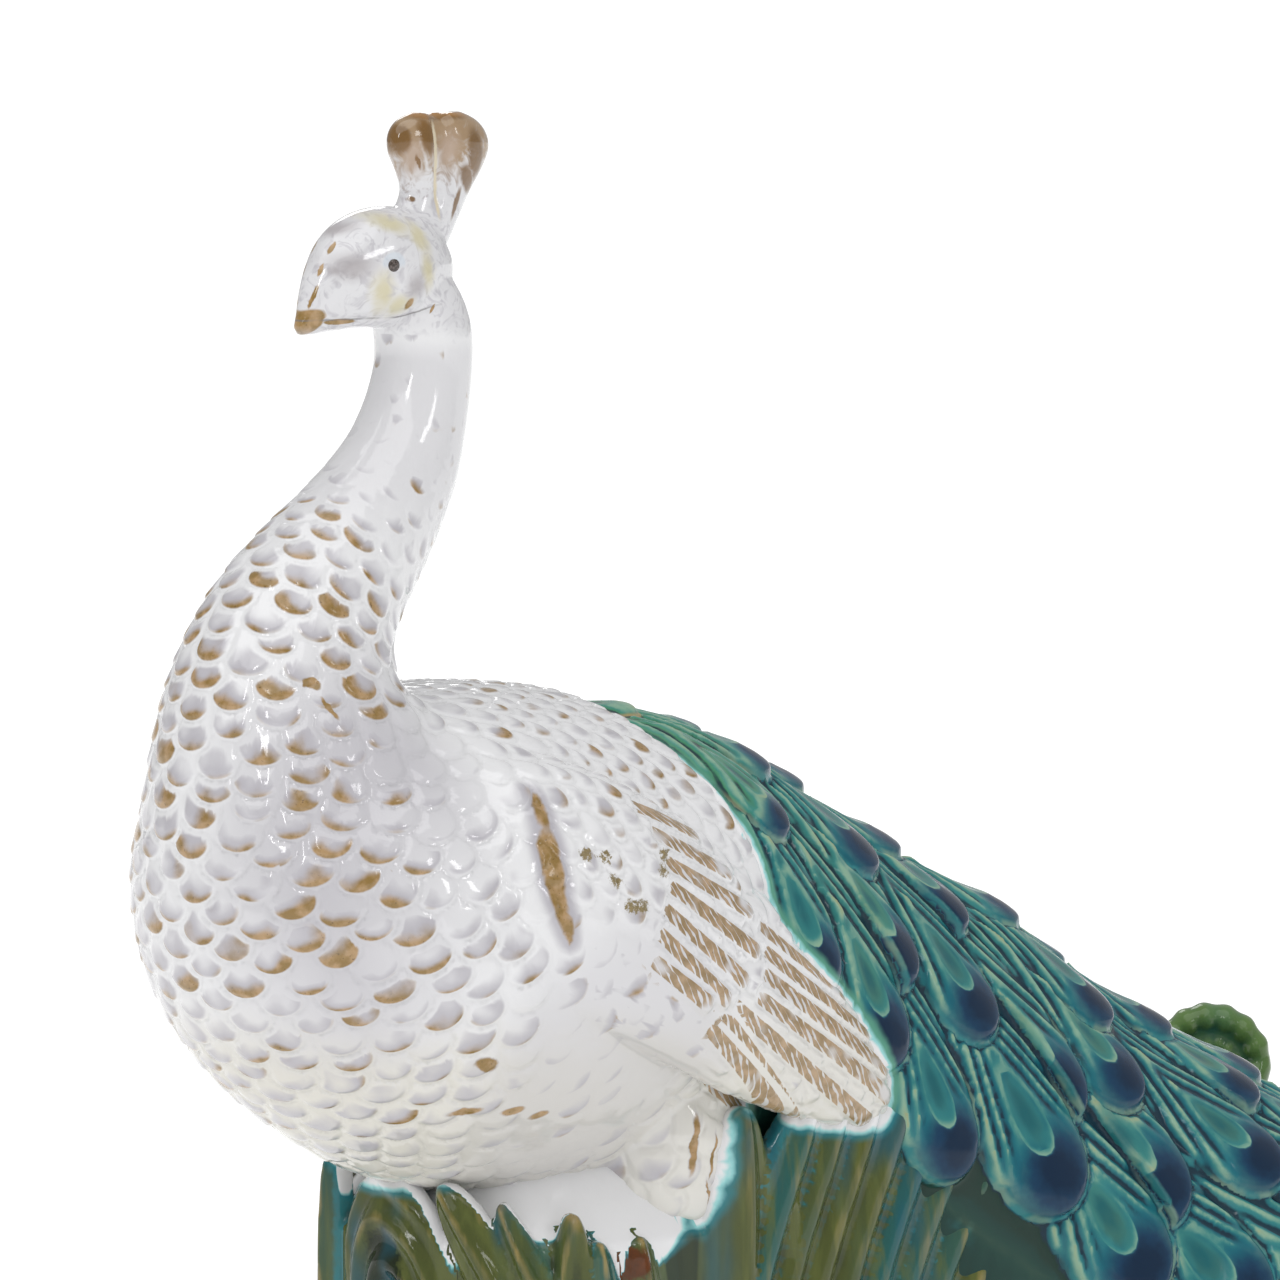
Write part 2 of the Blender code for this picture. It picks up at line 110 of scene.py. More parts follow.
# Left wing, from the shoulder to the tip: x, outward y, z, half breadth, half thickness
WING = [
    (-80, 40, 214, 10, 8), (-70, 48, 209, 24, 13), (-52, 55, 200, 33, 16),
    (-26, 61, 187, 36, 16), (4, 64, 170, 34, 14), (34, 65, 152, 30, 12), (60, 66, 135, 23, 10),
    (78, 66, 122, 14, 8), (89, 65.5, 113, 5, 4.5),
]
WING_BREADTH_LEAN = 0.22
# Train: the ridge's x, y, z, then the lower edge's x, half width, z
TRAIN = [
    (8, 0, 238, 8, 46, 214), (36, 0, 233, 30, 58, 190), (66, 0, 223, 55, 66, 152),
    (104, 0, 204, 84, 69, 112), (146, -2, 181, 114, 71, 80), (187, -5, 160, 150, 75, 54),
    (228, -8, 132, 190, 82, 36), (270, -12, 109, 234, 92, 24), (310, -16, 87, 280, 101, 15),
    (350, -19, 73, 326, 106, 10), (384, -21, 56, 366, 100, 6), (404, -22, 34, 390, 84, 3),
    (415, -22, 16, 403, 56, 1),
]
# The train's foot, as a share of its half width
TRAIN_FLOOR_SHARE = 0.93
# How much of that the train's front gives up, where leaves stand before it
TRAIN_TUCK = 0.22
# How feathers turn from the ridge's direction towards the edge: train row, degrees
SWEEP = [(0, 42), (4, 42), (7, 24), (12, 10)]
SWEEP_FULL_V = 0.35
# Feather tips that the figure shows on its left: the train's row, and v from the ridge to the edge
SHOWN_TIPS = [
    (1.9, -0.61), (2.35, -0.28), (3.2, -0.44), (3.3, -0.69), (4.2, -0.41), (4.2, -0.66),
    (5.05, -0.88), (5.2, -0.17), (5.65, -0.42), (6.05, -0.80), (6.55, -0.26), (6.95, -0.64),
]
FIRST_TIP, LAST_TIP = 1.1, 12.1
# The bank's outline on the floor: x, y on the near side, y on the far side
BANK_PLAN = [
    (-70, 0, 0), (-66, -28, 28), (-52, -52, 51), (-22, -68, 66), (20, -75, 73), (70, -78, 76),
    (120, -80, 77), (170, -84, 78), (220, -92, 79), (270, -104, 81), (320, -115, 80),
    (362, -113, 73), (390, -98, 55), (404, -68, 24), (408, -22, -22),
]

# How high the bank's leaves reach: x, z
LEAF_TOPS = [(-70, 94), (-50, 104), (60, 106), (100, 98), (130, 82), (165, 60), (210, 44), (270, 30)]
SCROLL_TURNS = 1.3
# What the roll loses of its radius from its outside to its end
SCROLL_SHRINK = 0.62
# Fern scrolls: foot, middle of the roll, its radius and the heading of its plane in degrees
SCROLLS = [
    ((372, 62, -8), (393, 62, 75), 19, -40),
    ((214, 72, -8), (232, 79, 56), 14, 10),
    ((34, 68, -8), (14, 77, 42), 13, 185),
]
# The bank: its height, how far its side leans in, up to which height, and its rounded top
BANK_HEIGHT = 106.0
BANK_SLOPE = 15.0
BANK_FLARE_TOP = 58.0
BANK_SHOULDER = 16.0
STUMP_END = 150.0
# Blades of the bank: how many, their size, and up to which x they stand
BLADE_COUNT = 34
BLADE_WIDTH = 25.0
BLADE_THICKNESS = 11.0
BLADES_END = 262.0
# Blades fan out from BLADE_CENTRE_X: a root stands at this share of its tip's distance from there.
BLADE_CENTRE_X = 20.0
BLADE_SPREAD = 0.74
BLADE_HEIGHTS = (1.0, 0.76, 0.92, 0.62)
BLADE_STAND_OFF = (1.0, 3.5)
# The first train feathers are this share of the full size, which is reached at this row.
FEATHER_LEAST = 0.62
FEATHER_FULL_ROW = 2.6
# Shanks: x, outward y, radius and the height where they enter the thigh
SHANK = (30, 27, 7, 90)
# Thighs: x, outward y, z, half length, half width, half height
THIGH = (22, 36, 108, 26, 27, 38)


def smooth(low, high, x):
    """0 below low, 1 above high and an S curve between them. low may be above high."""
    t = np.clip((np.asarray(x, float) - low) / (high - low), 0, 1)
    return t * t * (3 - 2 * t)


def curve(rows, t):
    """A smooth curve through equally spaced rows of numbers, at the numbers t."""
    rows = np.asarray(rows, float)
    last = len(rows) - 1
    padded = np.vstack([2 * rows[0] - rows[1], rows, 2 * rows[last] - rows[last - 1]])
    t = np.asarray(t, float)
    i = np.clip(np.floor(t).astype(int), 0, last - 1)
    f = (t - i)[..., None]
    before, here, there, after = (padded[i + k] for k in range(4))
    return 0.5 * (
        2 * here
        + (there - before) * f
        + (2 * before - 5 * here + 4 * there - after) * f * f
        + (3 * here - before - 3 * there + after) * f**3
    )


def finer(rows, steps):
    return curve(rows, np.arange((len(rows) - 1) * steps + 1) / steps)


def unit(v):
    return v / np.maximum(np.linalg.norm(v, axis=-1, keepdims=True), 1e-9)


def xyz(x, y, z):
    """Points from their coordinates, any of which may be a single number."""
    return np.stack(np.broadcast_arrays(x, y, z), -1)


def spans(rows):
    """From the row before to the row after, for each row."""
    ahead, behind = np.roll(rows, -1, 0), np.roll(rows, 1, 0)
    ahead[-1], behind[0] = rows[-1], rows[0]
    return ahead - behind


def lay(fields, on, **values):
    """Writes the values into the fields at the points on."""
    for name, value in values.items():
        fields[name][on] = value


def turn(count):
    return np.arange(count) * 2 * math.pi / count


def placed(points):
    """Drawing millimetres to metres in the frame."""
    low, high = np.array(CAD_BOX)
    return low + (points - DRAWN_LOW) * (high - low) / (DRAWN_HIGH - DRAWN_LOW)


class Clay:
    """Closed lofts that are pressed into one watertight skin."""

    def __init__(self):
        self.points, self.faces, self.count = [], [], 0

    def loft(self, rings):
        rings = np.asarray(rings, float)
        rows, sides = rings.shape[:2]
        r, c = np.meshgrid(np.arange(rows - 1), np.arange(sides), indexing="ij")
        a = self.count + r * sides + c
        b = self.count + r * sides + (c + 1) % sides
        self.faces += np.stack([a, b, b + sides, a + sides], -1).reshape(-1, 4).tolist()
        self.faces.append([self.count + sides - 1 - k for k in range(sides)])
        self.faces.append([self.count + (rows - 1) * sides + k for k in range(sides)])
        self.points.append(rings.reshape(-1, 3))
        self.count += rows * sides

    def pressed(self, name, voxel):
        mesh = bpy.data.meshes.new(name)
        mesh.from_pydata(np.vstack(self.points).tolist(), [], self.faces)
        bm = bmesh.new()
        bm.from_mesh(mesh)
        bmesh.ops.recalc_face_normals(bm, faces=bm.faces)
        bm.to_mesh(mesh)
        bm.free()
        made = bpy.data.objects.new(name, mesh)
        bpy.context.scene.collection.objects.link(made)
        return remeshed(made, voxel)


def settled(made):
    """The object with its modifiers applied."""
    graph = bpy.context.evaluated_depsgraph_get()
    mesh = bpy.data.meshes.new_from_object(made.evaluated_get(graph))
    made.modifiers.clear()
    made.data = mesh
    return made


def remeshed(made, voxel):
    press = made.modifiers.new("press", "REMESH")
    press.mode = "VOXEL"
    press.voxel_size = voxel
    press.use_smooth_shade = True
    return settled(made)


def thinned(made, triangles=TRIANGLE_LIMIT):
    """Leaves the object at most this many triangles, most of them where it is carved."""
    made.data.calc_loop_triangles()
    have = len(made.data.loop_triangles)
    if have > triangles:
        thin = made.modifiers.new("thin", "DECIMATE")
        thin.ratio = triangles / have
        settled(made)
    return made.data, points_of(made.data), normals_of(made.data)


def points_of(mesh):
    points = np.empty(len(mesh.vertices) * 3, np.float32)
    mesh.vertices.foreach_get("co", points)
    return points.reshape(-1, 3).astype(float)


def normals_of(mesh):
    normals = np.empty(len(mesh.vertices) * 3, np.float32)
    mesh.vertex_normals.foreach_get("vector", normals)
    return normals.reshape(-1, 3).astype(float)


def move(mesh, points):
    mesh.vertices.foreach_set("co", points.astype(np.float32).ravel())
    mesh.update()


def relaxed(mesh, points, rounds, strength=0.5):
    """The points drawn towards their neighbours' middle. strength may differ by point."""
    edges = np.empty(len(mesh.edges) * 2, np.int32)
    mesh.edges.foreach_get("vertices", edges)
    a, b = edges.reshape(-1, 2).T
    count = len(points)
    share = 1 / np.maximum(np.bincount(a, minlength=count) + np.bincount(b, minlength=count), 1)
    strength = np.broadcast_to(strength, count)
    for _ in range(rounds):
        for k in range(points.shape[1]):
            column = points[:, k]
            total = np.bincount(a, column[b], count) + np.bincount(b, column[a], count)
            points[:, k] = column + strength * (total * share - column)
    return points


def set_down(mesh, rounds):
    """Relaxes a piece and lays its lowest points on the floor."""
    points = relaxed(mesh, points_of(mesh), rounds)
    points[:, 2] = np.where(points[:, 2] < FOOT_REACH, 0, points[:, 2])
    move(mesh, points)


def tree_of(points):
    tree = KDTree(len(points))
    for k, p in enumerate(points):
        tree.insert(p, k)
    tree.balance()
    return tree


def near(tree, at, reach):
    return np.fromiter((k for _, k, _ in tree.find_range(at, reach)), int)


class Shingle:
    """One scale or feather laid on a skin: its tip's round centre, its direction and its size."""

    def __init__(
        self, at, along, normal, half, length, lift, tone=0.5, kind=0.0, narrow=0.0, blunt=1.0
    ):
        self.at, self.normal = at, normal
        self.along = unit(along - normal * (along @ normal))
        self.side = np.cross(self.normal, self.along)
        self.half, self.length, self.lift = half, length, lift
        self.tone, self.kind, self.narrow, self.blunt = tone, kind, narrow, blunt


FIELDS = {"height": 0.0, "edge": 9.0, "tip": 0.0, "tone": 0.0, "kind": 0.0, "across": 0.0, "down": 0.0}


def shingled(points, normals, shingles):
    """Fields that shingles leave on a skin. They are laid from the last row up, each on top of
    those before: its height, the distance to the nearest edge, how near its tip a point is, and
    its own tone and kind."""
    tree = tree_of(points)
    fields = {name: np.full(len(points), value) for name, value in FIELDS.items()}
    for s in shingles:
        middle = s.at - s.along * (s.length - s.half) / 2
        found = near(tree, middle, s.length / 2 + s.half / s.blunt + 2.5)
        if not len(found):
            continue
        found = found[normals[found] @ s.normal > 0.1]
        away = points[found] - s.at
        x, y = away @ s.side, away @ s.along
        up = np.clip(-y / s.length, 0, 1)
        wide = s.half * (1 - s.narrow * up)
        inside = np.where(y > 0, s.half - np.hypot(x, y * s.blunt), wide - np.abs(x))
        inside = np.minimum(inside, s.length + y)
        here = inside > 0
        outside = found[~here]
        fields["edge"][outside] = np.minimum(fields["edge"][outside], -inside[~here])
        on, x, y, inside = found[here], x[here], y[here], inside[here]
        rise = np.clip((y + s.length) / (s.length + s.half / s.blunt), 0, 1)
        fields["height"][on] = s.lift * rise**1.3 * smooth(-0.6, s.half * 0.45, inside)
        lay(fields, on, edge=inside, tip=rise, tone=s.tone, kind=s.kind, across=x, down=y)
    return fields


def keep_fields(mesh, fields):
    for name, values in fields.items():
        layer = mesh.attributes.new(name, "FLOAT", "POINT")
        layer.data.foreach_set("value", np.asarray(values, np.float32))


def finished(made, shader_material, name):
    """Puts a modelled piece into the frame and hands it to the figure."""
    mesh = made.data
    move(mesh, placed(points_of(mesh)))
    mesh.polygons.foreach_set("use_smooth", np.ones(len(mesh.polygons), bool))
    mesh.materials.clear()
    mesh.materials.append(shader_material)
    made.name = mesh.name = name
    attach(made, "root")
    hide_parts("peacock_figurine")
    return made


def path_distance(points, path):
    """Distance from points to a line drawn in the side view, and how far along it they are."""
    xz = points[:, [0, 2]]
    best, along = np.full(len(xz), 1e9), np.zeros(len(xz))
    path = np.asarray(path, float)
    for k, (a, b) in enumerate(zip(path, path[1:])):
        step = b - a
        t = np.clip(((xz - a) @ step) / (step @ step), 0, 1)
        gap = np.linalg.norm(xz - a - t[:, None] * step, axis=1)
        closer = gap < best
        best = np.where(closer, gap, best)
        along = np.where(closer, (k + t) / (len(path) - 1), along)
    return best, along


# Marks on the left side, x and z: the bare slash in the shoulder and its worn chips
SLASH = [(-52.8, 221.0), (-54.4, 213.0), (-55.5, 203.7), (-55.0, 192.5), (-51.5, 180.0)]
CHIPS = [
    (-42.8, 204.5), (-35.9, 203.0), (-35.2, 196.0), (-30.5, 188.6), (-25.5, 188.2), (-14.0, 197.0),
    (-11.0, 201.0),
]
# The crest's middle fold, and the mouth's line: its height at the bill and its rise to the cheek
CREST_FOLD_X = -38.6
GAPE_Z, GAPE_RISE = 357.3, 3.6
# Glaze marks of the head in its side view: x, z, half width, half height, tilt, softness
FACE_BROWN = [
    (-87.6, 356.6, 6.4, 4.0, 28, 0.5), (-77.0, 356.7, 7.0, 1.0, 0, 0.6),
    (-79.0, 378.0, 0.4, 3.0, -38, 0.9), (-83.0, 371.8, 0.4, 2.8, -28, 0.9),
    (-85.8, 364.0, 0.55, 5.0, -22, 0.9), (-56.3, 361.3, 1.6, 2.2, 0, 0.9),
    (-47.2, 359.6, 0.5, 2.2, -35, 0.8),
]
FACE_GREY = [
    (-75.6, 372.6, 7.5, 4.6, 0, 0.9), (-80.0, 371.6, 2.4, 2.2, 0, 0.9),
    (-75.4, 370.8, 3.2, 2.4, 0, 0.9), (-76.0, 383.0, 8.0, 1.6, 18, 0.9),
    (-55.4, 366.5, 4.0, 4.5, 0, 0.9),
]
FACE_CREAM = [
    (-61.0, 384.8, 7.5, 3.2, -16, 0.9), (-52.0, 380.5, 3.6, 6.0, 24, 0.9),
    (-50.5, 371.0, 3.2, 6.5, 8, 0.9), (-66.0, 365.0, 4.0, 7.0, 12, 0.9),
    (-60.0, 361.0, 5.0, 3.5, 0, 0.9),
]
CREST_BROWN = [
    (-36.0, 416.2, 17.0, 2.6, 0, 0.9), (-23.5, 404.0, 4.6, 9.5, 12, 0.9),
    (-42.5, 409.6, 3.8, 6.8, 12, 0.9), (-50.5, 409.0, 3.2, 5.6, 0, 0.9),
    (-26.5, 396.5, 3.6, 6.0, 30, 0.9), (-31.5, 389.6, 1.4, 6.4, -24, 0.9),
    (-46.5, 391.2, 1.0, 1.0, 0, 0.9), (-45.6, 402.0, 0.8, 3.0, 20, 0.9),
]
CREST_PINK = [(-34.0, 405.6, 3.8, 6.4, -14, 0.9), (-47.0, 403.6, 3.2, 6.0, 0, 0.9)]
# Brown marks of the body's left side
BODY_BROWN = [
    (-70.9, 145.0, 4.6, 2.6, -18, 0.5), (-70.4, 129.8, 5.2, 1.5, 6, 0.6),
    (-56.2, 128.9, 4.6, 1.7, 8, 0.6), (-46.6, 126.8, 4.0, 1.6, 12, 0.8),
    (12.4, 111.0, 1.5, 11.0, -9, 0.5), (18.6, 107.0, 0.7, 8.5, -10, 0.6),
    (18.4, 94.0, 0.7, 7.5, 16, 0.6), (13.0, 86.0, 0.9, 5.2, 52, 0.6),
    (-110.0, 256.0, 3.2, 1.9, -24, 0.5), (-107.2, 248.8, 1.2, 4.6, 30, 0.6),
]


def bird_marks(points):
    """Where the bird's glaze is thin, worn or grey, by place, and painted shade on the flank below the
    wing.
    """
    x, y, z = points.T
    left = smooth(-8, -14, y)
    gap, along = path_distance(points, SLASH)
    wide = 0.5 + 2.2 * np.sin(math.pi * np.clip(along, 0, 1)) ** 0.7
    slash = smooth(wide + 6.0, wide - 1.2, gap) * left
    slash *= 1 - 0.12 * smooth(0.12, 0.0, np.abs(along - 0.26))
    chip = np.zeros(len(points))
    for spot in CHIPS:
        chip = np.maximum(chip, smooth(4.8, 1.0, np.hypot((x - spot[0]) * 0.8, z - spot[1])))
    # Brown shows most on the breast's left and on the lower neck's front, little on the right.
    front = smooth(-0.2, 0.5, unit(np.stack([x + 85, y], -1)) @ np.array([-0.95, -0.30]))
    breast = smooth(322, 302, z) * (0.66 * front - 0.04) + smooth(302, 322, z) * (-0.42 + 0.25 * front)
    breast -= 0.22 * smooth(215, 150, z) * front
    back = smooth(190, 225, z) * smooth(-75, -40, x) * 0.36
    shoulder = smooth(44, 20, np.hypot(x + 72, z - 215)) * -0.42 * smooth(15, 40, np.abs(y))
    belly = smooth(165, 130, z)
    bare = breast + back + shoulder - 0.18 * belly
    bare = np.where(z > 352, -2.0, bare)
    smear_and_shade = smooth(46, 20, np.hypot(x + 100, (z - 205) * 0.62))
    smear_and_shade *= smooth(0, -20, y) * smooth(-75, -40, y)
    # Painted shade: the flank below the wing turns grey in the thin glaze's colour.
    flank = smooth(52, 26, np.hypot(x + 30, (z - 140) * 0.9)) * smooth(15, 35, np.abs(y))
    throat = smooth(285, 315, z) * smooth(352, 345, z)
    smear_and_shade = np.maximum(smear_and_shade, np.maximum(flank * 0.5, throat * 0.4))
    return dict(slash=slash, chip=chip * left, bare=bare, belly=belly * 0.8, smear_and_shade=smear_and_shade)


# Where the scales of the body spring from
NECK_ROOT = np.array([-90.0, 0.0, 245.0])
NECK_ROOT_RADIUS = 34.0
# Down from the head: distance, then a scale's width and the pitch of the rows
SCALE_SIZES = [(0, 9.5, 5.4), (90, 10.8, 5.7), (125, 13.0, 6.3), (160, 14.0, 6.8), (330, 14.5, 7.2)]
# On the back the scales are narrower and longer.
BACK_WIDTH, BACK_PITCH = 0.52, 1.5
HEX = math.sqrt(0.75)


def ellipse_rings(rows, sides, axis):
    """Rings of a loft. axis is 0 for rings across x and 2 for level rings."""
    a = turn(sides)
    rings = []
    for place, middle, deep, wide in rows:
        level, raised = wide * np.sin(a), deep * np.cos(a)
        if axis == 0:
            rings.append(xyz(place, level, middle + raised))
        else:
            rings.append(xyz(place + raised, level, middle))
    return rings


def tube_rings(rows, sides=40):
    """Rings square to a path in the plane y = 0. Each row is x, z, half depth, half width."""
    rows = np.asarray(rows)
    along = unit(spans(rows)[:, :2])
    a = turn(sides)
    rings = []
    for (x, z, depth, width), (dx, dz) in zip(rows, along):
        out = depth * np.cos(a)
        rings.append(xyz(x + dz * out, width * np.sin(a), z - dx * out))
    return rings


def wing_rings(side):
    rows = finer(WING, 6)
    a = turn(40)[:, None]
    rings = []
    for (x, y, z, breadth, thick), span in zip(rows, spans(rows)):
        along = unit(span[:3] * (1, 0, 1))
        across = unit(np.array([-along[2], -WING_BREADTH_LEAN, along[0]]))
        outward = np.cross(along, across)
        ring = np.array([x, y, z]) + across * breadth * np.cos(a) + outward * thick * np.sin(a)
        rings.append(ring * (1, side, 1))
    return rings


def crest_rings():
    """The fan, with two lobes that curl at its top."""
    a = turn(48)
    rings = []
    for x, z, depth, width in finer(CREST, 6):
        opening = smooth(388, 408, z)
        lobe = 1 + 0.10 * opening * np.cos(2 * a + 0.4) * (np.sin(a) ** 2)
        middle = np.cos(a) + 0.12
        fold = 1 - 0.34 * opening * np.exp(-((middle / 0.22) ** 2))
        notch = 2.2 * opening * np.exp(-((middle / 0.3) ** 2))
        rings.append(xyz(x + depth * np.cos(a) * lobe, width * np.sin(a) * fold, z - notch))
    return rings


def bird_clay(voxel):
    clay = Clay()
    body = [(x, (top + low) / 2, (top - low) / 2, width) for x, top, low, width in finer(BODY, 6)]
    clay.loft(ellipse_rings(body, 64, 0))
    clay.loft(tube_rings(finer(NECK, 4), 48))
    clay.loft(tube_rings(finer(HEAD, 5), 40))
    clay.loft(crest_rings())
    x, y, z, length, width, height = THIGH
    for side in (-1, 1):
        clay.loft(wing_rings(side))
        a = turn(32)
        rings = []
        for p in np.arange(1, 20) * math.pi / 20:
            level, out = length * math.sin(p) * np.cos(a), width * math.sin(p) * np.sin(a)
            rings.append(xyz(x + level, side * (y + out), z - height * math.cos(p)))
        clay.loft(rings)
    return clay.pressed("bird", voxel)


NECK_LINE = finer([(x, z) for x, z, _, _ in NECK[::-1]], 6)
NECK_REACH = np.concatenate([[0], np.cumsum(np.linalg.norm(np.diff(NECK_LINE, axis=0), axis=1))])
ROOT_REACH = float(NECK_REACH[np.argmin(np.abs(NECK_LINE[:, 1] - NECK_ROOT[2]))])


# Coverts, the scales of the wing's upper part, hang steeply and are narrow.
COVERT_WAY = np.array([0.55, 0.0, -0.83])
COVERT_WIDTH, COVERT_PITCH = 8.2, 10.5


def covert_zone(points):
    x, y, z = points.T
    return smooth(-64, -48, x) * smooth(40, 24, x) * smooth(182, 192, z) * smooth(26, 40, np.abs(y))


def flow(points):
    """How far down from the head a point of the bird is and which way its feathers point there."""
    xz = points[:, [0, 2]].astype(np.float32)
    gap = ((xz[:, None, :] - NECK_LINE.astype(np.float32)) ** 2).sum(-1)
    k = np.clip(gap.argmin(1), 1, len(NECK_LINE) - 2)
    heading = unit(NECK_LINE[k + 1] - NECK_LINE[k - 1])
    away = xz - NECK_LINE[k]
    neck_reach = NECK_REACH[k] + (away * heading).sum(-1)
    neck_way = xyz(heading[:, 0], 0, heading[:, 1])
    from_root = points - NECK_ROOT
    distance = np.linalg.norm(from_root, axis=1)
    off_line = np.hypot(np.linalg.norm(away, axis=1), points[:, 1])
    above = smooth(300, 262, points[:, 2])
    body = np.maximum(smooth(266, 226, points[:, 2]), smooth(38, 54, off_line) * above)
    reach = neck_reach * (1 - body) + (ROOT_REACH + distance - NECK_ROOT_RADIUS) * body
    way = neck_way * (1 - body)[:, None] + unit(from_root) * body[:, None]
    steep = covert_zone(points)[:, None]
    return reach, unit(unit(way) * (1 - steep) + COVERT_WAY * steep)


def feather_zone(points):
    """How strongly the scales stand out, by place. Smooth clay is near 0."""
    x, y, z = points.T
    side = np.abs(y)
    strong = np.ones(len(points))
    # The throat and the head are smooth, and the front of the upper neck nearly so.
    strong *= 0.12 + 0.88 * smooth(330, 285, z)
    # The flank below the shoulder, down to the thigh
    flank = np.hypot((x + 28) / 34, (z - 136) / 34)
    strong *= 1 - 0.86 * smooth(1.25, 0.7, flank) * smooth(20, 45, side)
    # The wing's plain front edge
    right, up = x + 27, z - 163
    edge = np.hypot((right * 0.75 - up * 0.55) / 34, (right * 0.55 + up * 0.75) / 15)
    strong *= 1 - 0.95 * smooth(1.25, 0.75, edge) * smooth(20, 45, side)
    return strong


def bird_shingles(points, normals, rng):
    """Scales from the head down, each as close below the others as their sizes allow."""
    tree = tree_of(points)
    reach, way = flow(points)
    distances, widths, pitches = zip(*SCALE_SIZES)
    back = smooth(212, 236, points[:, 2]) * smooth(-72, -40, points[:, 0])
    width = np.interp(reach, distances, widths) * (1 - (1 - BACK_WIDTH) * back)
    pitch = np.interp(reach, distances, pitches) * (1 + (BACK_PITCH - 1) * back)
    covert = covert_zone(points)
    width += (COVERT_WIDTH - width) * covert
    pitch += (COVERT_PITCH - pitch) * covert
    blunt = 1.35 - 0.75 * np.maximum(back, covert)
    free = (points[:, 2] < 352) & (points[:, 0] < 118) & (reach > 10)
    strong = feather_zone(points)
    made = []
    for k in np.argsort(reach):
        if not free[k]:
            continue
        odd, odd_size, tone = rng.uniform(-1, 1), rng.uniform(-1, 1), rng.uniform(0, 1)
        w = width[k] * (1 + 0.10 * odd_size)
        lift = float((0.75 + 0.75 * smooth(80, 130, reach[k])) * strong[k])
        one = Shingle(
            points[k], way[k], normals[k], w * 0.54, pitch[k] * 2.2, lift, tone, 0.0, 0.1, blunt[k]
        )
        found = near(tree, points[k], w)
        away = points[found] - points[k]
        gap = np.hypot(away @ one.side / w, away @ one.along / (pitch[k] / HEX))
        free[found[gap < 1]] = False
        one.at = one.at + one.along * pitch[k] * 0.12 * odd
        made.append(one)
    return made[::-1]


# The wing's long feathers in its side view: x and z where they come out, and x, z of their tips,
# from the back to the front edge, as two smooth lines for each row
WING_ROWS = [
    dict(
        roots=[(33, 177), (32, 170), (31, 163), (27, 157), (17, 154), (7, 151), (2, 145)],
        tips=[(68, 150), (78, 137), (86, 125), (88, 116), (77, 109), (60, 109), (38, 116)],
        half=3.7,
    ),
    dict(
        roots=[(-12, 217), (-9, 209), (-8, 201), (-9, 194), (-12, 187), (-17, 181), (-22, 173)],
        tips=[(14, 204), (23, 192), (27, 181), (26, 170), (19, 162), (11, 156), (1, 153)],
        half=3.7,
    ),
]
# How far a wing feather's edge stands out
WING_LIFT = 1.7


def wing_shingles(points, normals, rng):
    made = []
    for side in (-1, 1):
        shell = np.nonzero(points[:, 1] * side > 20)[0]
        tree = tree_of(points[shell][:, [0, 2, 1]] * (1, 1, 0))
        for row in WING_ROWS:
            for root, tip in zip(row["roots"], row["tips"]):
                found = near(tree, (tip[0], tip[1], 0), 2.5)
                if not len(found):
                    continue
                outer = shell[found][np.argmax(points[shell[found], 1] * side)]
                found = near(tree, (root[0], root[1], 0), 3.0)
                top = shell[found][np.argmax(points[shell[found], 1] * side)]
                along = points[outer] - points[top]
                length = float(np.linalg.norm(along))
                normal = unit(normals[outer] + normals[top])
                at = points[outer] - unit(along) * row["half"]
                tone = rng.uniform(0, 1)
                made.append(
                    Shingle(at, along, normal, row["half"], length, WING_LIFT, tone, 1.0, 0.12)
                )
    return made


class Socket:
    """A node's output. Arithmetic on it adds Math nodes."""

    def __init__(self, shader, output):
        self.shader, self.output = shader, output

    def math(self, operation, *values):
        return self.shader.node("ShaderNodeMath", dict(operation=operation), dict(enumerate(values)))

    def __add__(self, other):
        return self.math("ADD", self, other)

    def __sub__(self, other):
        return self.math("SUBTRACT", self, other)

    def __rsub__(self, other):
        return self.math("SUBTRACT", other, self)

    def __mul__(self, other):
        return self.math("MULTIPLY", self, other)

    def __truediv__(self, other):
        return self.math("DIVIDE", self, other)

    __radd__, __rmul__ = __add__, __mul__

    def most(self, other):
        return self.math("MAXIMUM", self, other)

    def least(self, other):
        return self.math("MINIMUM", self, other)


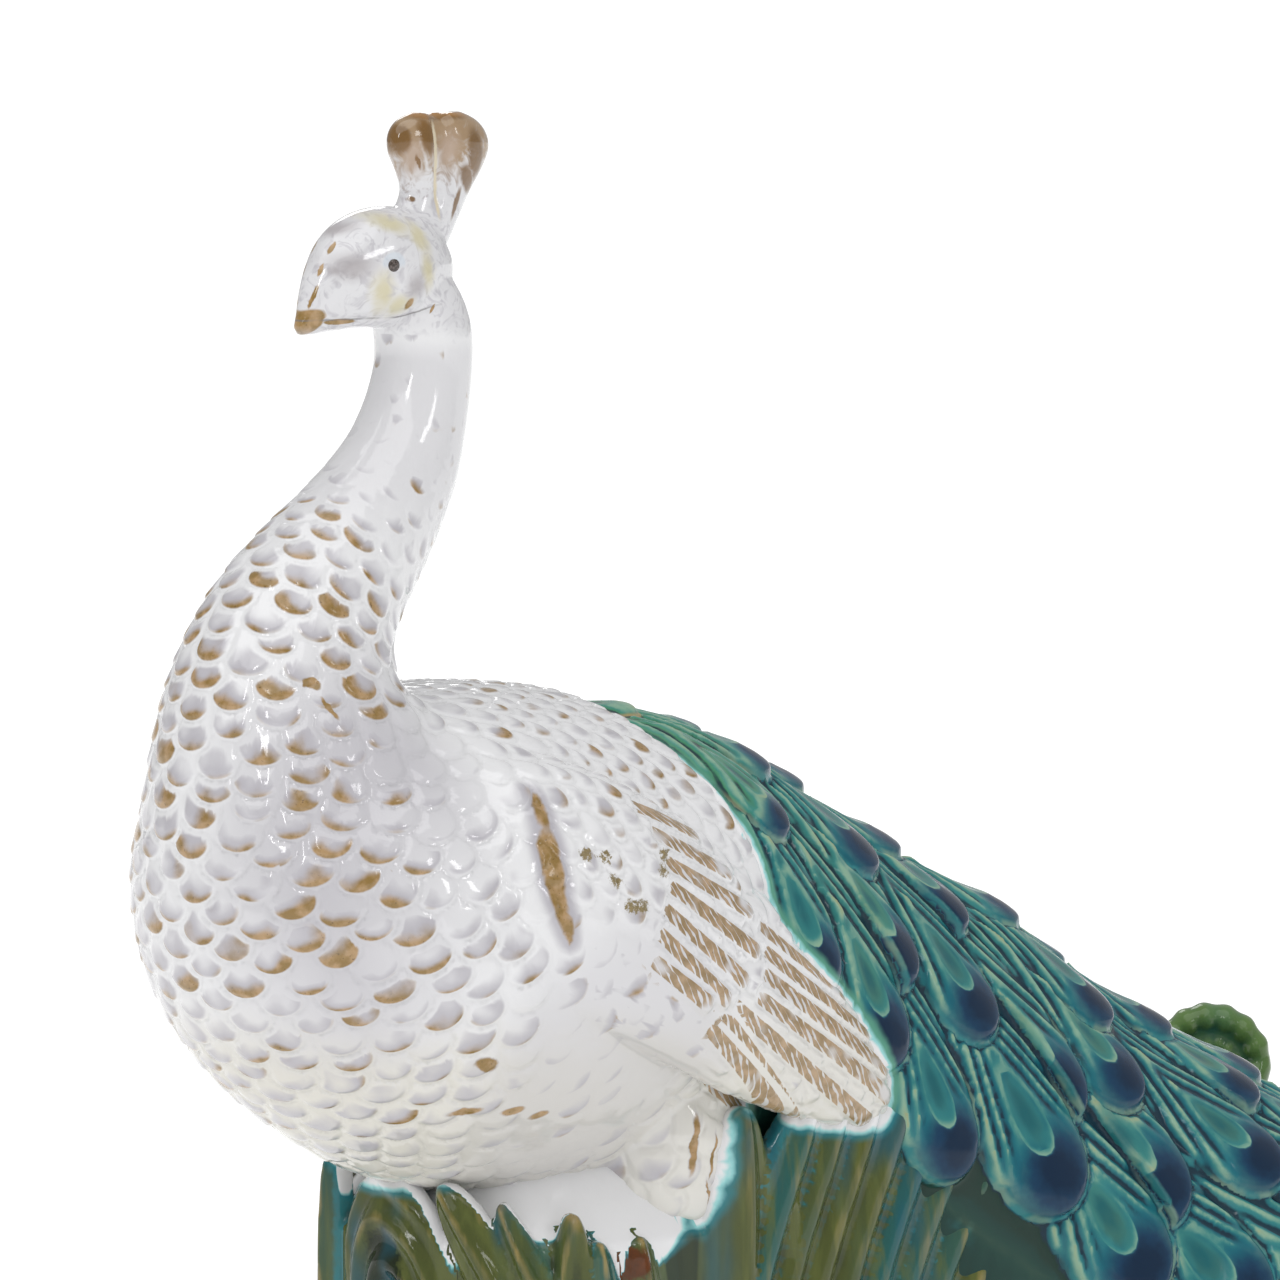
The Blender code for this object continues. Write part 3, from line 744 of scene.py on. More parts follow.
class Shader:
    """A material built from expressions."""

    def __init__(self, name):
        self.material = bpy.data.materials.new(name)
        self.material.use_nodes = True
        self.nodes = self.material.node_tree.nodes
        self.links = self.material.node_tree.links
        self.nodes.clear()
        self.place = self.node("ShaderNodeTexCoord", output="Object")
        low, high = np.array(CAD_BOX)
        scale = (DRAWN_HIGH - DRAWN_LOW) / (high - low)
        drawn = self.node(
            "ShaderNodeMapping",
            sockets={"Vector": self.place, "Location": DRAWN_LOW - low * scale, "Scale": scale},
        )
        self.x, self.y, self.z = (
            self.node("ShaderNodeSeparateXYZ", sockets={0: drawn}, output=k) for k in range(3)
        )

    def node(self, kind, settings=None, sockets=None, output=0):
        """A node of this type: its settings are set first, then its sockets' values or links."""
        made = self.nodes.new(kind)
        for key, value in (settings or {}).items():
            setattr(made, key, value)
        for key, value in (sockets or {}).items():
            if isinstance(value, Socket):
                self.links.new(value.output, made.inputs[key])
            elif made.inputs[key].type == "RGBA":
                made.inputs[key].default_value = (*value, 1.0)
            else:
                made.inputs[key].default_value = value
        return Socket(self, made.outputs[output])

    def field(self, name):
        return self.node("ShaderNodeAttribute", dict(attribute_name=name), output="Fac")

    def noise(self, size, detail=2.0, place=None, rough=0.5, warp=0.0):
        """Noise from 0 to 1 whose lumps are about size millimetres across."""
        return self.node(
            "ShaderNodeTexNoise",
            sockets={
                "Vector": place or self.place,
                "Scale": 1000.0 / size,
                "Detail": detail,
                "Roughness": rough,
                "Distortion": warp,
            },
        )

    def stretched(self, x, y, z):
        """The place with its axes stretched, for streaks."""
        return self.node("ShaderNodeMapping", sockets={"Vector": self.place, "Scale": (x, y, z)})

    def smooth(self, low, high, value):
        """0 at low, 1 at high. low may be above high."""
        return self.node(
            "ShaderNodeMapRange",
            dict(interpolation_type="SMOOTHSTEP"),
            {"Value": value, "From Min": low, "From Max": high},
        )

    def absolute(self, value):
        return self.node("ShaderNodeMath", dict(operation="ABSOLUTE"), {0: value})

    def length(self, across, along):
        place = self.node("ShaderNodeCombineXYZ", sockets={0: across, 1: along})
        return self.node("ShaderNodeVectorMath", dict(operation="LENGTH"), {0: place}, output="Value")

    def spot(self, x, z, wide, tall, tilt=0.0, soft=0.5):
        """A soft oval in the side view, 1 in its middle. wide and tall are half sizes."""
        turned = math.radians(tilt)
        right, up = self.x - x, self.z - z
        across = (right * math.cos(turned) + up * math.sin(turned)) / wide
        along = (up * math.cos(turned) - right * math.sin(turned)) / tall
        return self.smooth(1.0 + soft * 0.4, 1.0 - soft, self.length(across, along))

    def spots(self, rows, wobble):
        """The strongest of several spots, with wobbling outlines."""
        x, z = self.x, self.z
        self.x, self.z = x + wobble, z + wobble * 0.6
        made = self.spot(*rows[0])
        for row in rows[1:]:
            made = made.most(self.spot(*row))
        self.x, self.z = x, z
        return made

    def mix(self, first, second, factor):
        """The first colour where factor is 0 and the second where it is 1."""
        colours = {0: factor, 6: first, 7: second}
        return self.node("ShaderNodeMix", dict(data_type="RGBA"), colours, output=2)

    def mix_value(self, first, second, factor):
        return (second - first) * factor + first

    def glaze(self, colour, roughness, height, depth=0.0006, coat=0.35, shine=0.5, glow=0.0):
        """Closes the material: a glossy glaze over the colour, with height as its bump."""
        bump = self.node(
            "ShaderNodeBump", sockets={"Height": height, "Distance": depth, "Strength": 0.6}
        )
        shader = self.node(
            "ShaderNodeBsdfPrincipled",
            sockets={
                "Base Color": colour,
                "Roughness": roughness,
                "Normal": bump,
                "IOR": 1.52,
                "Specular IOR Level": shine,
                "Coat Weight": coat,
                "Coat Roughness": 0.04,
                "Emission Color": (1.0, 1.0, 1.0),
                "Emission Strength": glow,
            },
        )
        out = self.nodes.new("ShaderNodeOutputMaterial")
        self.links.new(shader.output, out.inputs["Surface"])
        return self.material


def bird_glaze(colours):
    s = Shader("white_glaze_over_brown_clay")
    edge, tip, tone = s.field("edge"), s.field("tip"), s.field("tone")
    kind, across, down = s.field("kind"), s.field("across"), s.field("down")
    bare_bias, smear_and_shade, cavity = s.field("bare"), s.field("smear_and_shade"), s.field("cavity")
    fine, small, middle = s.noise(0.7, 3), s.noise(3.5, 3), s.noise(11, 2)

    # Scales: the glaze is thin near each tip, and pools white in the grooves between them.
    patch = s.noise(7.5, 0)
    thin = tip * 2.9 + tone * 0.7 + bare_bias - edge * 0.06 + (patch - 0.5) * 1.5 + (small - 0.5) * 0.2
    groove = s.smooth(0.9, 1.7, edge + (small - 0.5) * 0.5)
    scale_bare = s.smooth(2.92, 3.5, thin) * groove
    veil_and_shade_mask = s.smooth(1.9, 3.1, thin) * s.smooth(0.8, 2.4, edge)

    # Long wing feathers: brown vanes crossed by thin white barbs, between raised white lines.
    slant = down + across * 1.9 + middle * 11.0
    barb = s.node("ShaderNodeMath", dict(operation="PINGPONG"), {0: slant, 1: 2.5})
    stroke = barb - s.smooth(0.40, 0.7, s.noise(4.0, 1)) * 1.1 + across * 0.12
    vane = s.smooth(0.02, 0.34, stroke + (small - 0.5) * 0.35)
    vane = vane * s.smooth(0.9, 1.15, edge + (small - 0.5) * 0.6)
    vane_bare = vane * s.smooth(0.76, 0.56, patch * 0.85 + tone * 0.12) * s.smooth(3.5, -1.0, down)

    slash = s.field("slash")
    marks = s.spots(BODY_BROWN, (small - 0.5) * 2.4) * s.smooth(-12, -16, s.y)
    bare = s.mix_value(scale_bare, vane_bare * 0.9, kind)
    bare = bare.most(s.smooth(0.76, 0.95, slash + (small - 0.5) * 0.1))
    bare = bare.most(s.smooth(0.3, 0.9, marks))
    veil_and_shade_mask = veil_and_shade_mask * (1 - kind) + kind * s.smooth(0.9, 2.2, edge) * 0.45
    veil_and_shade_mask = veil_and_shade_mask.most(s.smooth(0.0, 0.8, slash)).most(marks)
    worn = s.smooth(0.64, 0.74, s.field("chip") * 0.4 + s.noise(1.5, 4, rough=0.8) * 0.7)
    pooled = s.smooth(0.0, -1.1, cavity)

    # Painted shade: faces that point down, below about z 170, turn to the darker cream, which also covers
    # the lower belly.
    facing = s.node("ShaderNodeNewGeometry", output="Normal")
    downward_shade = s.smooth(0.1, -0.6, s.node("ShaderNodeSeparateXYZ", sockets={0: facing}, output=2))
    low = s.field("belly").most(downward_shade * s.smooth(170, 140, s.z))
    white = s.mix(colours.white, colours.belly_cream_and_shade, low)
    # Painted shade: the grey of the flank below the wing is mixed in here with the thin glaze's grey.
    veil_and_shade_mask = veil_and_shade_mask.most(smear_and_shade * 0.75).most(s.smooth(0.2, 1.5, cavity) * 0.35)
    veil_and_shade = s.mix(white, colours.veil_and_shade, veil_and_shade_mask)
    veil_and_shade = s.mix(veil_and_shade, colours.white, pooled * 0.4)
    brown = s.mix(colours.bare_light, colours.bare_dark, s.smooth(0.3, 0.65, small))
    brown = s.mix(brown, (0.05, 0.03, 0.01), s.smooth(0.66, 0.74, s.noise(0.9, 1)) * 0.5)
    colour = s.mix(veil_and_shade, brown, bare)
    colour = s.mix(colour, s.mix((0.10, 0.08, 0.03), (0.36, 0.27, 0.12), fine), worn)
    colour = face_glaze(s, colours, colour, brown, small, middle)
    rough = 0.1 + bare * 0.12 + worn * 0.4
    return s.glaze(colour, rough, middle * 0.5 + small * 0.12 - bare * 0.1)


def face_glaze(s, colours, colour, brown, small, middle):
    """The head's and crest's run glazes over the colour below them."""
    swirl = s.noise(6.0, 2, warp=2.5)
    wobble = (small - 0.5) * 0.8 + (swirl - 0.5) * 1.6
    head = s.smooth(350, 356, s.z)
    crest = s.smooth(386, 394, s.z)
    colour = s.mix(colour, colours.veil_and_shade, (s.smooth(0.45, 0.7, swirl) * 0.5 + 0.22) * head)
    colour = s.mix(colour, (0.60, 0.55, 0.36), s.spots(FACE_CREAM, wobble * 2) * head * 0.9)
    colour = s.mix(colour, (0.36, 0.33, 0.34), s.spots(FACE_GREY, wobble) * head * 0.8)
    colour = s.mix(colour, (0.34, 0.23, 0.13), crest * s.smooth(0.2, 0.8, swirl + (s.z - 401) * 0.035))
    colour = s.mix(colour, (0.44, 0.33, 0.25), s.spots(CREST_PINK, wobble))
    gold = s.mix((0.22, 0.10, 0.012), (0.10, 0.05, 0.008), middle)
    colour = s.mix(colour, gold, s.smooth(0.15, 0.75, s.spots(CREST_BROWN, wobble)) * 0.92)
    colour = s.mix(colour, (0.40, 0.20, 0.06), s.smooth(414.2, 416.0, s.z + (small - 0.5) * 2) * 0.8)
    line = s.smooth(0.9, 0.2, s.absolute(s.x - CREST_FOLD_X + wobble * 0.5))
    line = line * s.smooth(384, 388, s.z) * s.smooth(415, 411, s.z)
    colour = s.mix(colour, (0.68, 0.60, 0.44), line)
    colour = s.mix(colour, brown, s.smooth(0.3, 0.7, s.spots(FACE_BROWN, wobble * 0.6)) * head)
    gape = s.z - GAPE_Z - s.smooth(-58, -43, s.x) * GAPE_RISE + (small - 0.5) * 0.5
    mouth = s.smooth(0.42, 0.12, s.absolute(gape)) * s.smooth(-43, -46, s.x)
    colour = s.mix(colour, colours.line, mouth * s.smooth(0.35, 0.55, middle) * 0.7)
    ring = s.spot(-63.0, 373.2, 3.9, 3.6, 0, 0.2) * s.smooth(-1.0, 0.8, s.z - 372.6)
    return s.mix(colour, (0.50, 0.58, 0.66), ring * 0.5)


def train_skin(u, v):
    """Points of the train's skin. u counts TRAIN's rows and v runs from -1, the left edge, to 1."""
    rx, ry, rz, ex, half, ez = np.moveaxis(curve(TRAIN, u), -1, 0)
    angle = np.asarray(v) * math.pi / 2
    share = 1 - np.cos(angle)
    return xyz(rx + (ex - rx) * share, ry + half * np.sin(angle), ez + (rz - ez) * np.cos(angle))


def train_frame(u, v):
    """The skin's points, unit normals and the steps along u and along v."""
    step = 0.02
    along = (train_skin(u + step, v) - train_skin(u - step, v)) / (2 * step)
    across = (train_skin(u, v + step) - train_skin(u, v - step)) / (2 * step)
    return train_skin(u, v), unit(np.cross(along, across)), along, across


def sweep(u, v):
    """How far feathers turn from the ridge's direction towards the train's edge."""
    steep = np.radians(np.interp(u, *zip(*SWEEP)))
    return np.copysign(steep * np.minimum(1.0, np.abs(v) / SWEEP_FULL_V), v)


def train_tips(pitch, spacing):
    """(u, v) of every feather tip: the ones shown, their likes on the far side, and as many more
    as fit between them, from the back to the train's end."""
    tips = SHOWN_TIPS + [(u + 0.25, -v) for u, v in SHOWN_TIPS]
    for i in range(round((LAST_TIP - FIRST_TIP) / 0.22) + 1):
        for j in range(-16, 17):
            u, v = FIRST_TIP + 0.22 * i, 0.06 * j
            _, _, along, across = train_frame(np.array(u), np.array(v))
            along, across = np.linalg.norm(along), np.linalg.norm(across)
            apart = [math.hypot((u - a) * along / pitch, (v - b) * across / spacing) for a, b in tips]
            if min(apart) > 1.0:
                tips.append((u, v))
    return np.array(sorted(tips, reverse=True))


# The step between the points of a feather's middle line
MIDLINE_STEP = 2.0


def feather_lines(tips, length):
    """Each feather's middle line from its tip up: points, normals, the way to the tip, the side."""
    u, v = tips.T.copy()
    lines = []
    for _ in range(round(length / MIDLINE_STEP) + 1):
        p, normal, along, across = train_frame(u, v)
        turned = sweep(u, v)
        long_step, side_step = np.linalg.norm(along, axis=-1), np.linalg.norm(across, axis=-1)
        way = unit(unit(along) * np.cos(turned)[:, None] + unit(across) * np.sin(turned)[:, None])
        lines.append((p, normal, way, np.cross(normal, way)))
        u = u - np.cos(turned) * MIDLINE_STEP / long_step
        v = v - np.sin(turned) * MIDLINE_STEP / side_step
    return [np.stack(part, 1) for part in zip(*lines)]


def plume_half(s):
    """Half width of a train feather as a share of its widest, s from 0 at its tip to 1."""
    return 0.93 + 0.18 * np.sin(math.pi * np.minimum(1.0, s * 1.5)) - 0.38 * s**2


# Low feathers at the side are larger. Barbs: their pitch, and the slant of their lines
LOW_FEATHER_GROWTH = 0.3
BARB_PITCH = 5.2
BARB_SLANT = 0.30
TRAIN_FIELDS = dict(height=0.0, edge=9.0, down=90.0, across=0.0, tone=0.5, eye=-1.0, wall=1.0)
# The eye of a train feather: how far above the tip, half its height and half its width
EYE_RISE, EYE_TALL, EYE_WIDE = 26, 11, 4.8


def train_carving(points, normals, sizes):
    """Fields of the train's feathers on a skin, the lowest feather first."""
    tree = tree_of(points)
    length, half = sizes.feather_length * 1000, sizes.feather_width * 500
    lift = sizes.feather_lift * 1000
    tips = train_tips(sizes.feather_pitch * 1000, sizes.feather_spacing * 1000)
    lines = feather_lines(tips, length)
    grown = np.clip((tips[:, 0] - FIRST_TIP) / (FEATHER_FULL_ROW - FIRST_TIP), 0, 1)
    scales = FEATHER_LEAST + (1 - FEATHER_LEAST) * grown
    scales += LOW_FEATHER_GROWTH * smooth(0.5, 0.85, np.abs(tips[:, 1])) * smooth(3.6, 5.0, tips[:, 0])
    rng = np.random.default_rng(11)
    fields = {name: np.full(len(points), value) for name, value in TRAIN_FIELDS.items()}
    for k, scale in enumerate(scales):
        middle, normal, way, side = (part[k][: round(len(lines[0][k]) * scale)] for part in lines)
        reach, wide = length * scale, half * scale
        tone = rng.uniform(0, 1)
        found = near(tree, middle[len(middle) // 2], reach / 2 + wide + 4)
        if not len(found):
            continue
        p = points[found]
        m = ((p[:, None, :] - middle) ** 2).sum(-1).argmin(1)
        facing = (normals[found] * normal[m]).sum(-1) > 0.05
        found, p, m = found[facing], p[facing], m[facing]
        away = p - middle[m]
        x = (away * side[m]).sum(-1)
        y = m * MIDLINE_STEP - (away * way[m]).sum(-1)
        tall = np.abs((away * normal[m]).sum(-1)) < 14
        s = np.clip(y / reach, 0, 1)
        edge_half = wide * plume_half(s)
        inside = np.where(y < wide, wide - np.hypot(x, wide - y), edge_half - np.abs(x))
        inside = np.minimum(inside, reach - y)
        here = (inside > 0) & tall
        off = ~here & tall
        outside = found[off]
        fields["edge"][outside] = np.minimum(fields["edge"][outside], np.maximum(-inside[off], 0))
        on, x, y, s, inside = found[here], x[here], y[here], s[here], inside[here]
        across = x / edge_half[here]
        up = (y / scale - EYE_RISE) / EYE_TALL
        eye = 1 - np.hypot(up, x / scale / (EYE_WIDE * np.clip(1 - 0.34 * up, 0.5, 1.5)))
        bulge = 1 - 0.45 * across**2
        relief = lift * scale * (1 - s) ** 1.1 * bulge * smooth(-1.0, 3.6, inside)
        # Barbs slant from the shaft to the edges, and the shaft is a thin ridge down to the eye.
        pitch = BARB_PITCH * (0.8 + 0.5 * tone)
        slant = y * BARB_SLANT + np.abs(x) * math.sqrt(1 - BARB_SLANT**2)
        barbs = np.cos(2 * math.pi * slant / pitch + 6 * tone + 0.8 * np.sin(y / 11 + 5 * tone))
        clear = smooth(-0.1, -0.6, eye) * smooth(10, 26, y / scale) * smooth(0.3, 2.5, inside)
        shaft = np.exp(-((x / 1.1) ** 2)) * smooth(36, 42, y / scale)
        relief += (0.95 * barbs + 1.1 * shaft) * clear
        relief += 0.45 * np.exp(-(((eye - 0.02) / 0.2) ** 2)) - 0.3 * smooth(0.2, 0.8, eye)
        relief += 1.2 * np.exp(-(((y / scale - 10) / 8) ** 2)) * (1 - across**2)
        lay(fields, on, height=relief, edge=inside, down=y / scale, across=across)
        lay(fields, on, tone=tone, eye=eye, wall=0)
    return fields


def train_clay(voxel):
    clay = Clay()
    rings = []
    v = np.linspace(-1, 1, 73)
    for u in np.arange(0, len(TRAIN) - 1 + 0.01, 1 / 6):
        skin = train_skin(np.full(len(v), u), v)
        middle = skin[36, 1]
        # The front of the train stands on the leaves' own middle, and its end on the floor.
        foot = 26 * float(smooth(170, 130, skin[36, 0]))
        low = []
        share = TRAIN_FLOOR_SHARE - TRAIN_TUCK * float(smooth(185, 140, skin[36, 0]))
        for k in (72, 54, 36, 18, 0):
            x, y, z = skin[k]
            low.append((x, middle + (y - middle) * share, min(foot, z - 0.5)))
        rings.append(np.vstack([skin, low]))
    clay.loft(rings)
    return clay.pressed("train", voxel)


def bank_plan(t):
    """The bank's edge on the floor and its outward direction. t runs from -1, the near side's end,
    through 0 at the front to 1, the far side's end."""
    line = [(x, low) for x, low, _ in BANK_PLAN[:0:-1]] + [(x, far) for x, _, far in BANK_PLAN]
    place = (t + 1) / 2 * (len(line) - 1)
    here, ahead, behind = curve(line, place + np.array([0, 0.05, -0.05]))
    along = unit(ahead - behind)
    return here, np.array([-along[1], along[0]])


def bank_point(t, z, raised=0.0):
    """A point of the bank's side at the height z, or raised above it, and its outward direction."""
    edge, out = bank_plan(t)
    inset = BANK_SLOPE * math.sin(min(1.0, max(0.0, z) / BANK_FLARE_TOP) * math.pi / 2)
    x, y = edge + out * (raised - inset)
    return np.array([x, y, z]), np.array([out[0], out[1], 0])


def blade_places():
    """t of the root and of the tip of every blade, fanned out from below the middle of the body."""
    fine = [k / 800 for k in range(-800, 801)]
    edge = [(t, bank_plan(t)[0]) for t in fine]
    edge = [(t, p) for t, p in edge if p[0] < BLADES_END]
    line = np.array([p for _, p in edge])
    reach = np.concatenate([[0], np.cumsum(np.linalg.norm(np.diff(line, axis=0), axis=1))])
    places = []
    for k in range(BLADE_COUNT):
        t_top = float(np.interp(reach[-1] * (k + 0.5) / BLADE_COUNT, reach, [t for t, _ in edge]))
        x = bank_plan(t_top)[0][0]
        if x < BLADE_CENTRE_X:
            places.append((t_top * (1 + 0.10 * (BLADE_CENTRE_X - x) / 90), t_top))
            continue
        back = BLADE_CENTRE_X + (x - BLADE_CENTRE_X) * BLADE_SPREAD
        places.append((min((abs(p[0] - back), t) for t, p in edge if t * t_top > 0)[1], t_top))
    return places


# Leaves that the figure shows on its left front: where the root and the tip stand along the bank,
# the tip's height, the width and how many nested ridges the leaf has
SHOWN_LEAVES = [
    (0.085, 0.076, 110, 15, 0), (-0.225, -0.205, 86, 17, 0), (-0.235, -0.125, 98, 19, 0),
    (-0.230, -0.068, 103, 24, 0), (-0.045, 0.0080, 104, 62, 3), (-0.195, -0.1875, 95, 17, 1),
    (-0.246, -0.236, 86, 18, 0), (-0.300, -0.298, 121, 30, 0), (-0.322, -0.328, 106, 16, 0),
]
# The rusty mark between the leaves, x and z
RUST = (-12.0, 78.0)
# Behind them, below the wing, a fan of long leaves leans back.
FAN_ROOTS, FAN_TIPS = (-0.287, -0.425), (-0.338, -0.492)
FAN_TOPS = [122, 122, 121, 119, 115, 109, 101, 92, 82]
FAN_WIDTH = 25.0
FAN_LEAN, FAN_BLUNT = 1.5, 0.72


def bank_side(t, z, raised):
    """Points of the bank's side at t and height z, raised above it."""
    line = [(x, low) for x, low, _ in BANK_PLAN[:0:-1]] + [(x, far) for x, _, far in BANK_PLAN]
    place = (t + 1) / 2 * (len(line) - 1)
    here, ahead, behind = (curve(line, place + step) for step in (0, 0.05, -0.05))
    along = unit(ahead - behind)
    inset = BANK_SLOPE * np.sin(np.clip(z / BANK_FLARE_TOP, 0, 1) * math.pi / 2)
    out = np.stack([-along[:, 1], along[:, 0]], -1)
    return np.column_stack([here + out * (raised - inset)[:, None], np.maximum(z, 0)])


def leaf_rings(t_root, t_top, top, width, stand_off, ridges=0, lean=1.25, blunt=0.35):
    """A long leaf that hugs the bank's side. Each ring's places: t, z, raised, and the leaf's
    own across from -1 to 1 and along from 0 to 1."""
    steps, sides = 36, 84 if ridges > 1 else 36
    a = turn(sides)
    level, face = np.cos(a), np.maximum(0.0, np.sin(a))
    metric = np.linalg.norm(bank_plan(t_top + 0.01)[0] - bank_plan(t_top - 0.01)[0]) / 0.02
    rings, fields = [], []
    for k in range(steps + 1):
        s = 1 - (1 - k / steps) ** 1.5
        t = t_root + (t_top - t_root) * s**lean
        heading = unit(np.array([(t_top - t_root) * lean * s ** (lean - 1) * metric, top]))
        taper = math.sqrt(max(0.0, 1 - (max(0.0, s - blunt) / (1 - blunt)) ** 2.4))
        half = width / 2 * (0.84 + 0.16 * math.sin(math.pi * min(1.0, s * 1.6))) * taper + 0.5
        tip = max(0.0, (s - 0.62) / 0.38)
        around = np.hypot(level, tip)
        if ridges:
            fold = 0.30 * np.cos(2 * math.pi * ridges * (1 - around))
            fold -= 0.45 * np.exp(-((around / 0.3) ** 2))
        else:
            fold = 0.30 * face**8 - 0.34 * np.exp(-(((np.abs(level) - 0.45) / 0.17) ** 2))
        thick = BLADE_THICKNESS / 2 * (0.35 + 0.65 * taper)
        raised = stand_off * s**3 + np.where(np.sin(a) > 0, thick * (1 + fold) * face, -3.5)
        beside = level * half
        rings.append(bank_side(t + beside * heading[1] / metric, top * s - beside * heading[0], raised))
        fields.append(np.column_stack([level, np.full(sides, s)]))
    return np.array(rings), np.array(fields)


def all_leaves():
    """Every leaf of the bank: its rings, its paint places and whether it has nested ridges."""
    leaves = []
    for k, (root, tip, top, width, ridges) in enumerate(SHOWN_LEAVES):
        stand_off = BLADE_STAND_OFF[k % 2]
        leaves.append((*leaf_rings(root, tip, top, width, stand_off, ridges, 1.25, 0.6), ridges))
    for k, top in enumerate(FAN_TOPS):
        share = k / (len(FAN_TOPS) - 1)
        root, tip = (ends[0] + (ends[1] - ends[0]) * share for ends in (FAN_ROOTS, FAN_TIPS))
        rings = leaf_rings(root, tip, top, FAN_WIDTH, 5.0 - 0.2 * k, 0, FAN_LEAN, FAN_BLUNT)
        leaves.append((*rings, 0))
    for k, (root, tip) in enumerate(blade_places()):
        if FAN_TIPS[1] - 0.005 < tip < SHOWN_LEAVES[0][1] + 0.012:
            continue
        width = BLADE_WIDTH * (1 + 0.12 * math.sin(1.7 * k))
        top = float(np.interp(bank_plan(tip)[0][0], *zip(*LEAF_TOPS))) * BLADE_HEIGHTS[k % 4]
        leaves.append((*leaf_rings(root, tip, top, width, BLADE_STAND_OFF[k % 2]), 0))
    return leaves


def leaf_fields(points, leaves):
    """Which leaf a point is on, as a tone, and its place on that leaf."""
    rng = np.random.default_rng(5)
    tones = rng.uniform(0, 1, len(leaves))
    places = np.vstack([rings.reshape(-1, 3) for rings, _, _ in leaves])
    marks = []
    for (_, own, ridges), tone in zip(leaves, tones):
        own = own.reshape(-1, 2)
        marks.append(np.column_stack([own, np.broadcast_to((tone, ridges), own.shape)]))
    marks = np.vstack(marks)
    tree = tree_of(places)
    _, nearest, apart = zip(*[tree.find(p) for p in points])
    fields = dict(zip(("across", "along", "tone", "nested"), marks[list(nearest)].T))
    return dict(fields, apart=np.array(apart))


def bank_clay(voxel, leaves):
    clay = Clay()
    places = [k / 120 for k in range(-120, 121) if bank_plan(k / 120)[0][0] < STUMP_END]
    rings = [[bank_point(t, z, 2)[0] for t in places] for z in (0, 6, 12, 20, 28, 36, 44, 52, 58, 84)]
    rings.append([bank_point(t, BANK_HEIGHT, -BANK_SHOULDER)[0] for t in places])
    clay.loft(rings)
    for leaf, _, _ in leaves:
        clay.loft(leaf)
    for side in (-1, 1):
        a = turn(24)
        x, y, radius, top = SHANK
        outline = x + radius * np.cos(a), side * y + radius * np.sin(a)
        clay.loft([xyz(*outline, z) for z in np.linspace(0, top, 8)])
    return clay.pressed("leaves", voxel)


def scroll_clay(foot, middle, radius, heading, voxel, name):
    """A fern frond that rises from the bank and rolls up into a scroll, with ribs across it."""
    middle, foot = np.array(middle, float), np.array(foot, float)
    turned = math.radians(heading)
    along = np.array([math.cos(turned), math.sin(turned), 0])
    side = np.array([-math.sin(turned), math.cos(turned), 0])
    up = np.array([0, 0, 1.0])
    start = middle + along * radius
    steps = 110
    path = [(foot + (start - foot) * k / 12, 8.0) for k in range(12)]
    for k in range(steps):
        a = 2 * math.pi * SCROLL_TURNS * k / (steps - 1)
        r = radius * (1 - SCROLL_SHRINK * k / (steps - 1))
        half = 7.0 - 2.6 * k / (steps - 1)
        path.append((middle + along * r * math.cos(a) + up * r * math.sin(a), half))
    clay = Clay()
    rings = []
    a = turn(24)[:, None]
    for k, (p, half) in enumerate(path):
        ahead, behind = path[min(k + 1, len(path) - 1)][0], path[max(k - 1, 0)][0]
        out = unit(np.cross(ahead - behind, side))
        rib = 1 + 0.10 * math.cos(k * 2 * math.pi / 5.5)
        ring = p + side * half * rib * np.cos(a) + out * half * 0.7 * rib * np.sin(a)
        ring[:, 2] = np.maximum(ring[:, 2], 0)
        rings.append(ring)
    clay.loft(rings)
    a = turn(32)[:, None]
    disc = radius * 0.8 * (along * np.cos(a) + up * np.sin(a))
    layers = ((-3.5, 0.9), (-2, 1), (2, 1), (3.5, 0.9))
    clay.loft([middle + side * depth + disc * share for depth, share in layers])
    return clay.pressed(name, voxel)


def colour(name, description, default):
    return FloatVectorProperty(
        name=name, description=description, default=default, size=3, min=0, max=1, subtype="COLOR"
    )


def length(name, description, default):
    return FloatProperty(
        name=name, description=description, default=default, min=0, unit="LENGTH", precision=4
    )


class PeacockSizes(bpy.types.PropertyGroup):
    """Sizes of the carved detail"""

    skin_cell: length("Skin cell", "Cell size of the bird's pressed skin", 0.00095)
    train_cell: length("Train cell", "Cell size of the train's and the leaves' skin", 0.00098)
    feather_length: length("Train feather length", "From a train feather's root to its tip", 0.092)
    feather_width: length("Train feather width", "Across a train feather at its eye", 0.031)
    feather_lift: length("Train feather lift", "How far a train feather's tip stands up", 0.0062)
    feather_pitch: length("Train feather pitch", "Between feather tips along the train", 0.042)
    feather_spacing: length("Train feather spacing", "Between feather tips across the train", 0.026)
    eye_width: length("Eye width", "Across the bird's dark eye", 0.0060)
    camera_lens: FloatProperty(name="Lens", description="The camera's focal length in mm", default=187.5)


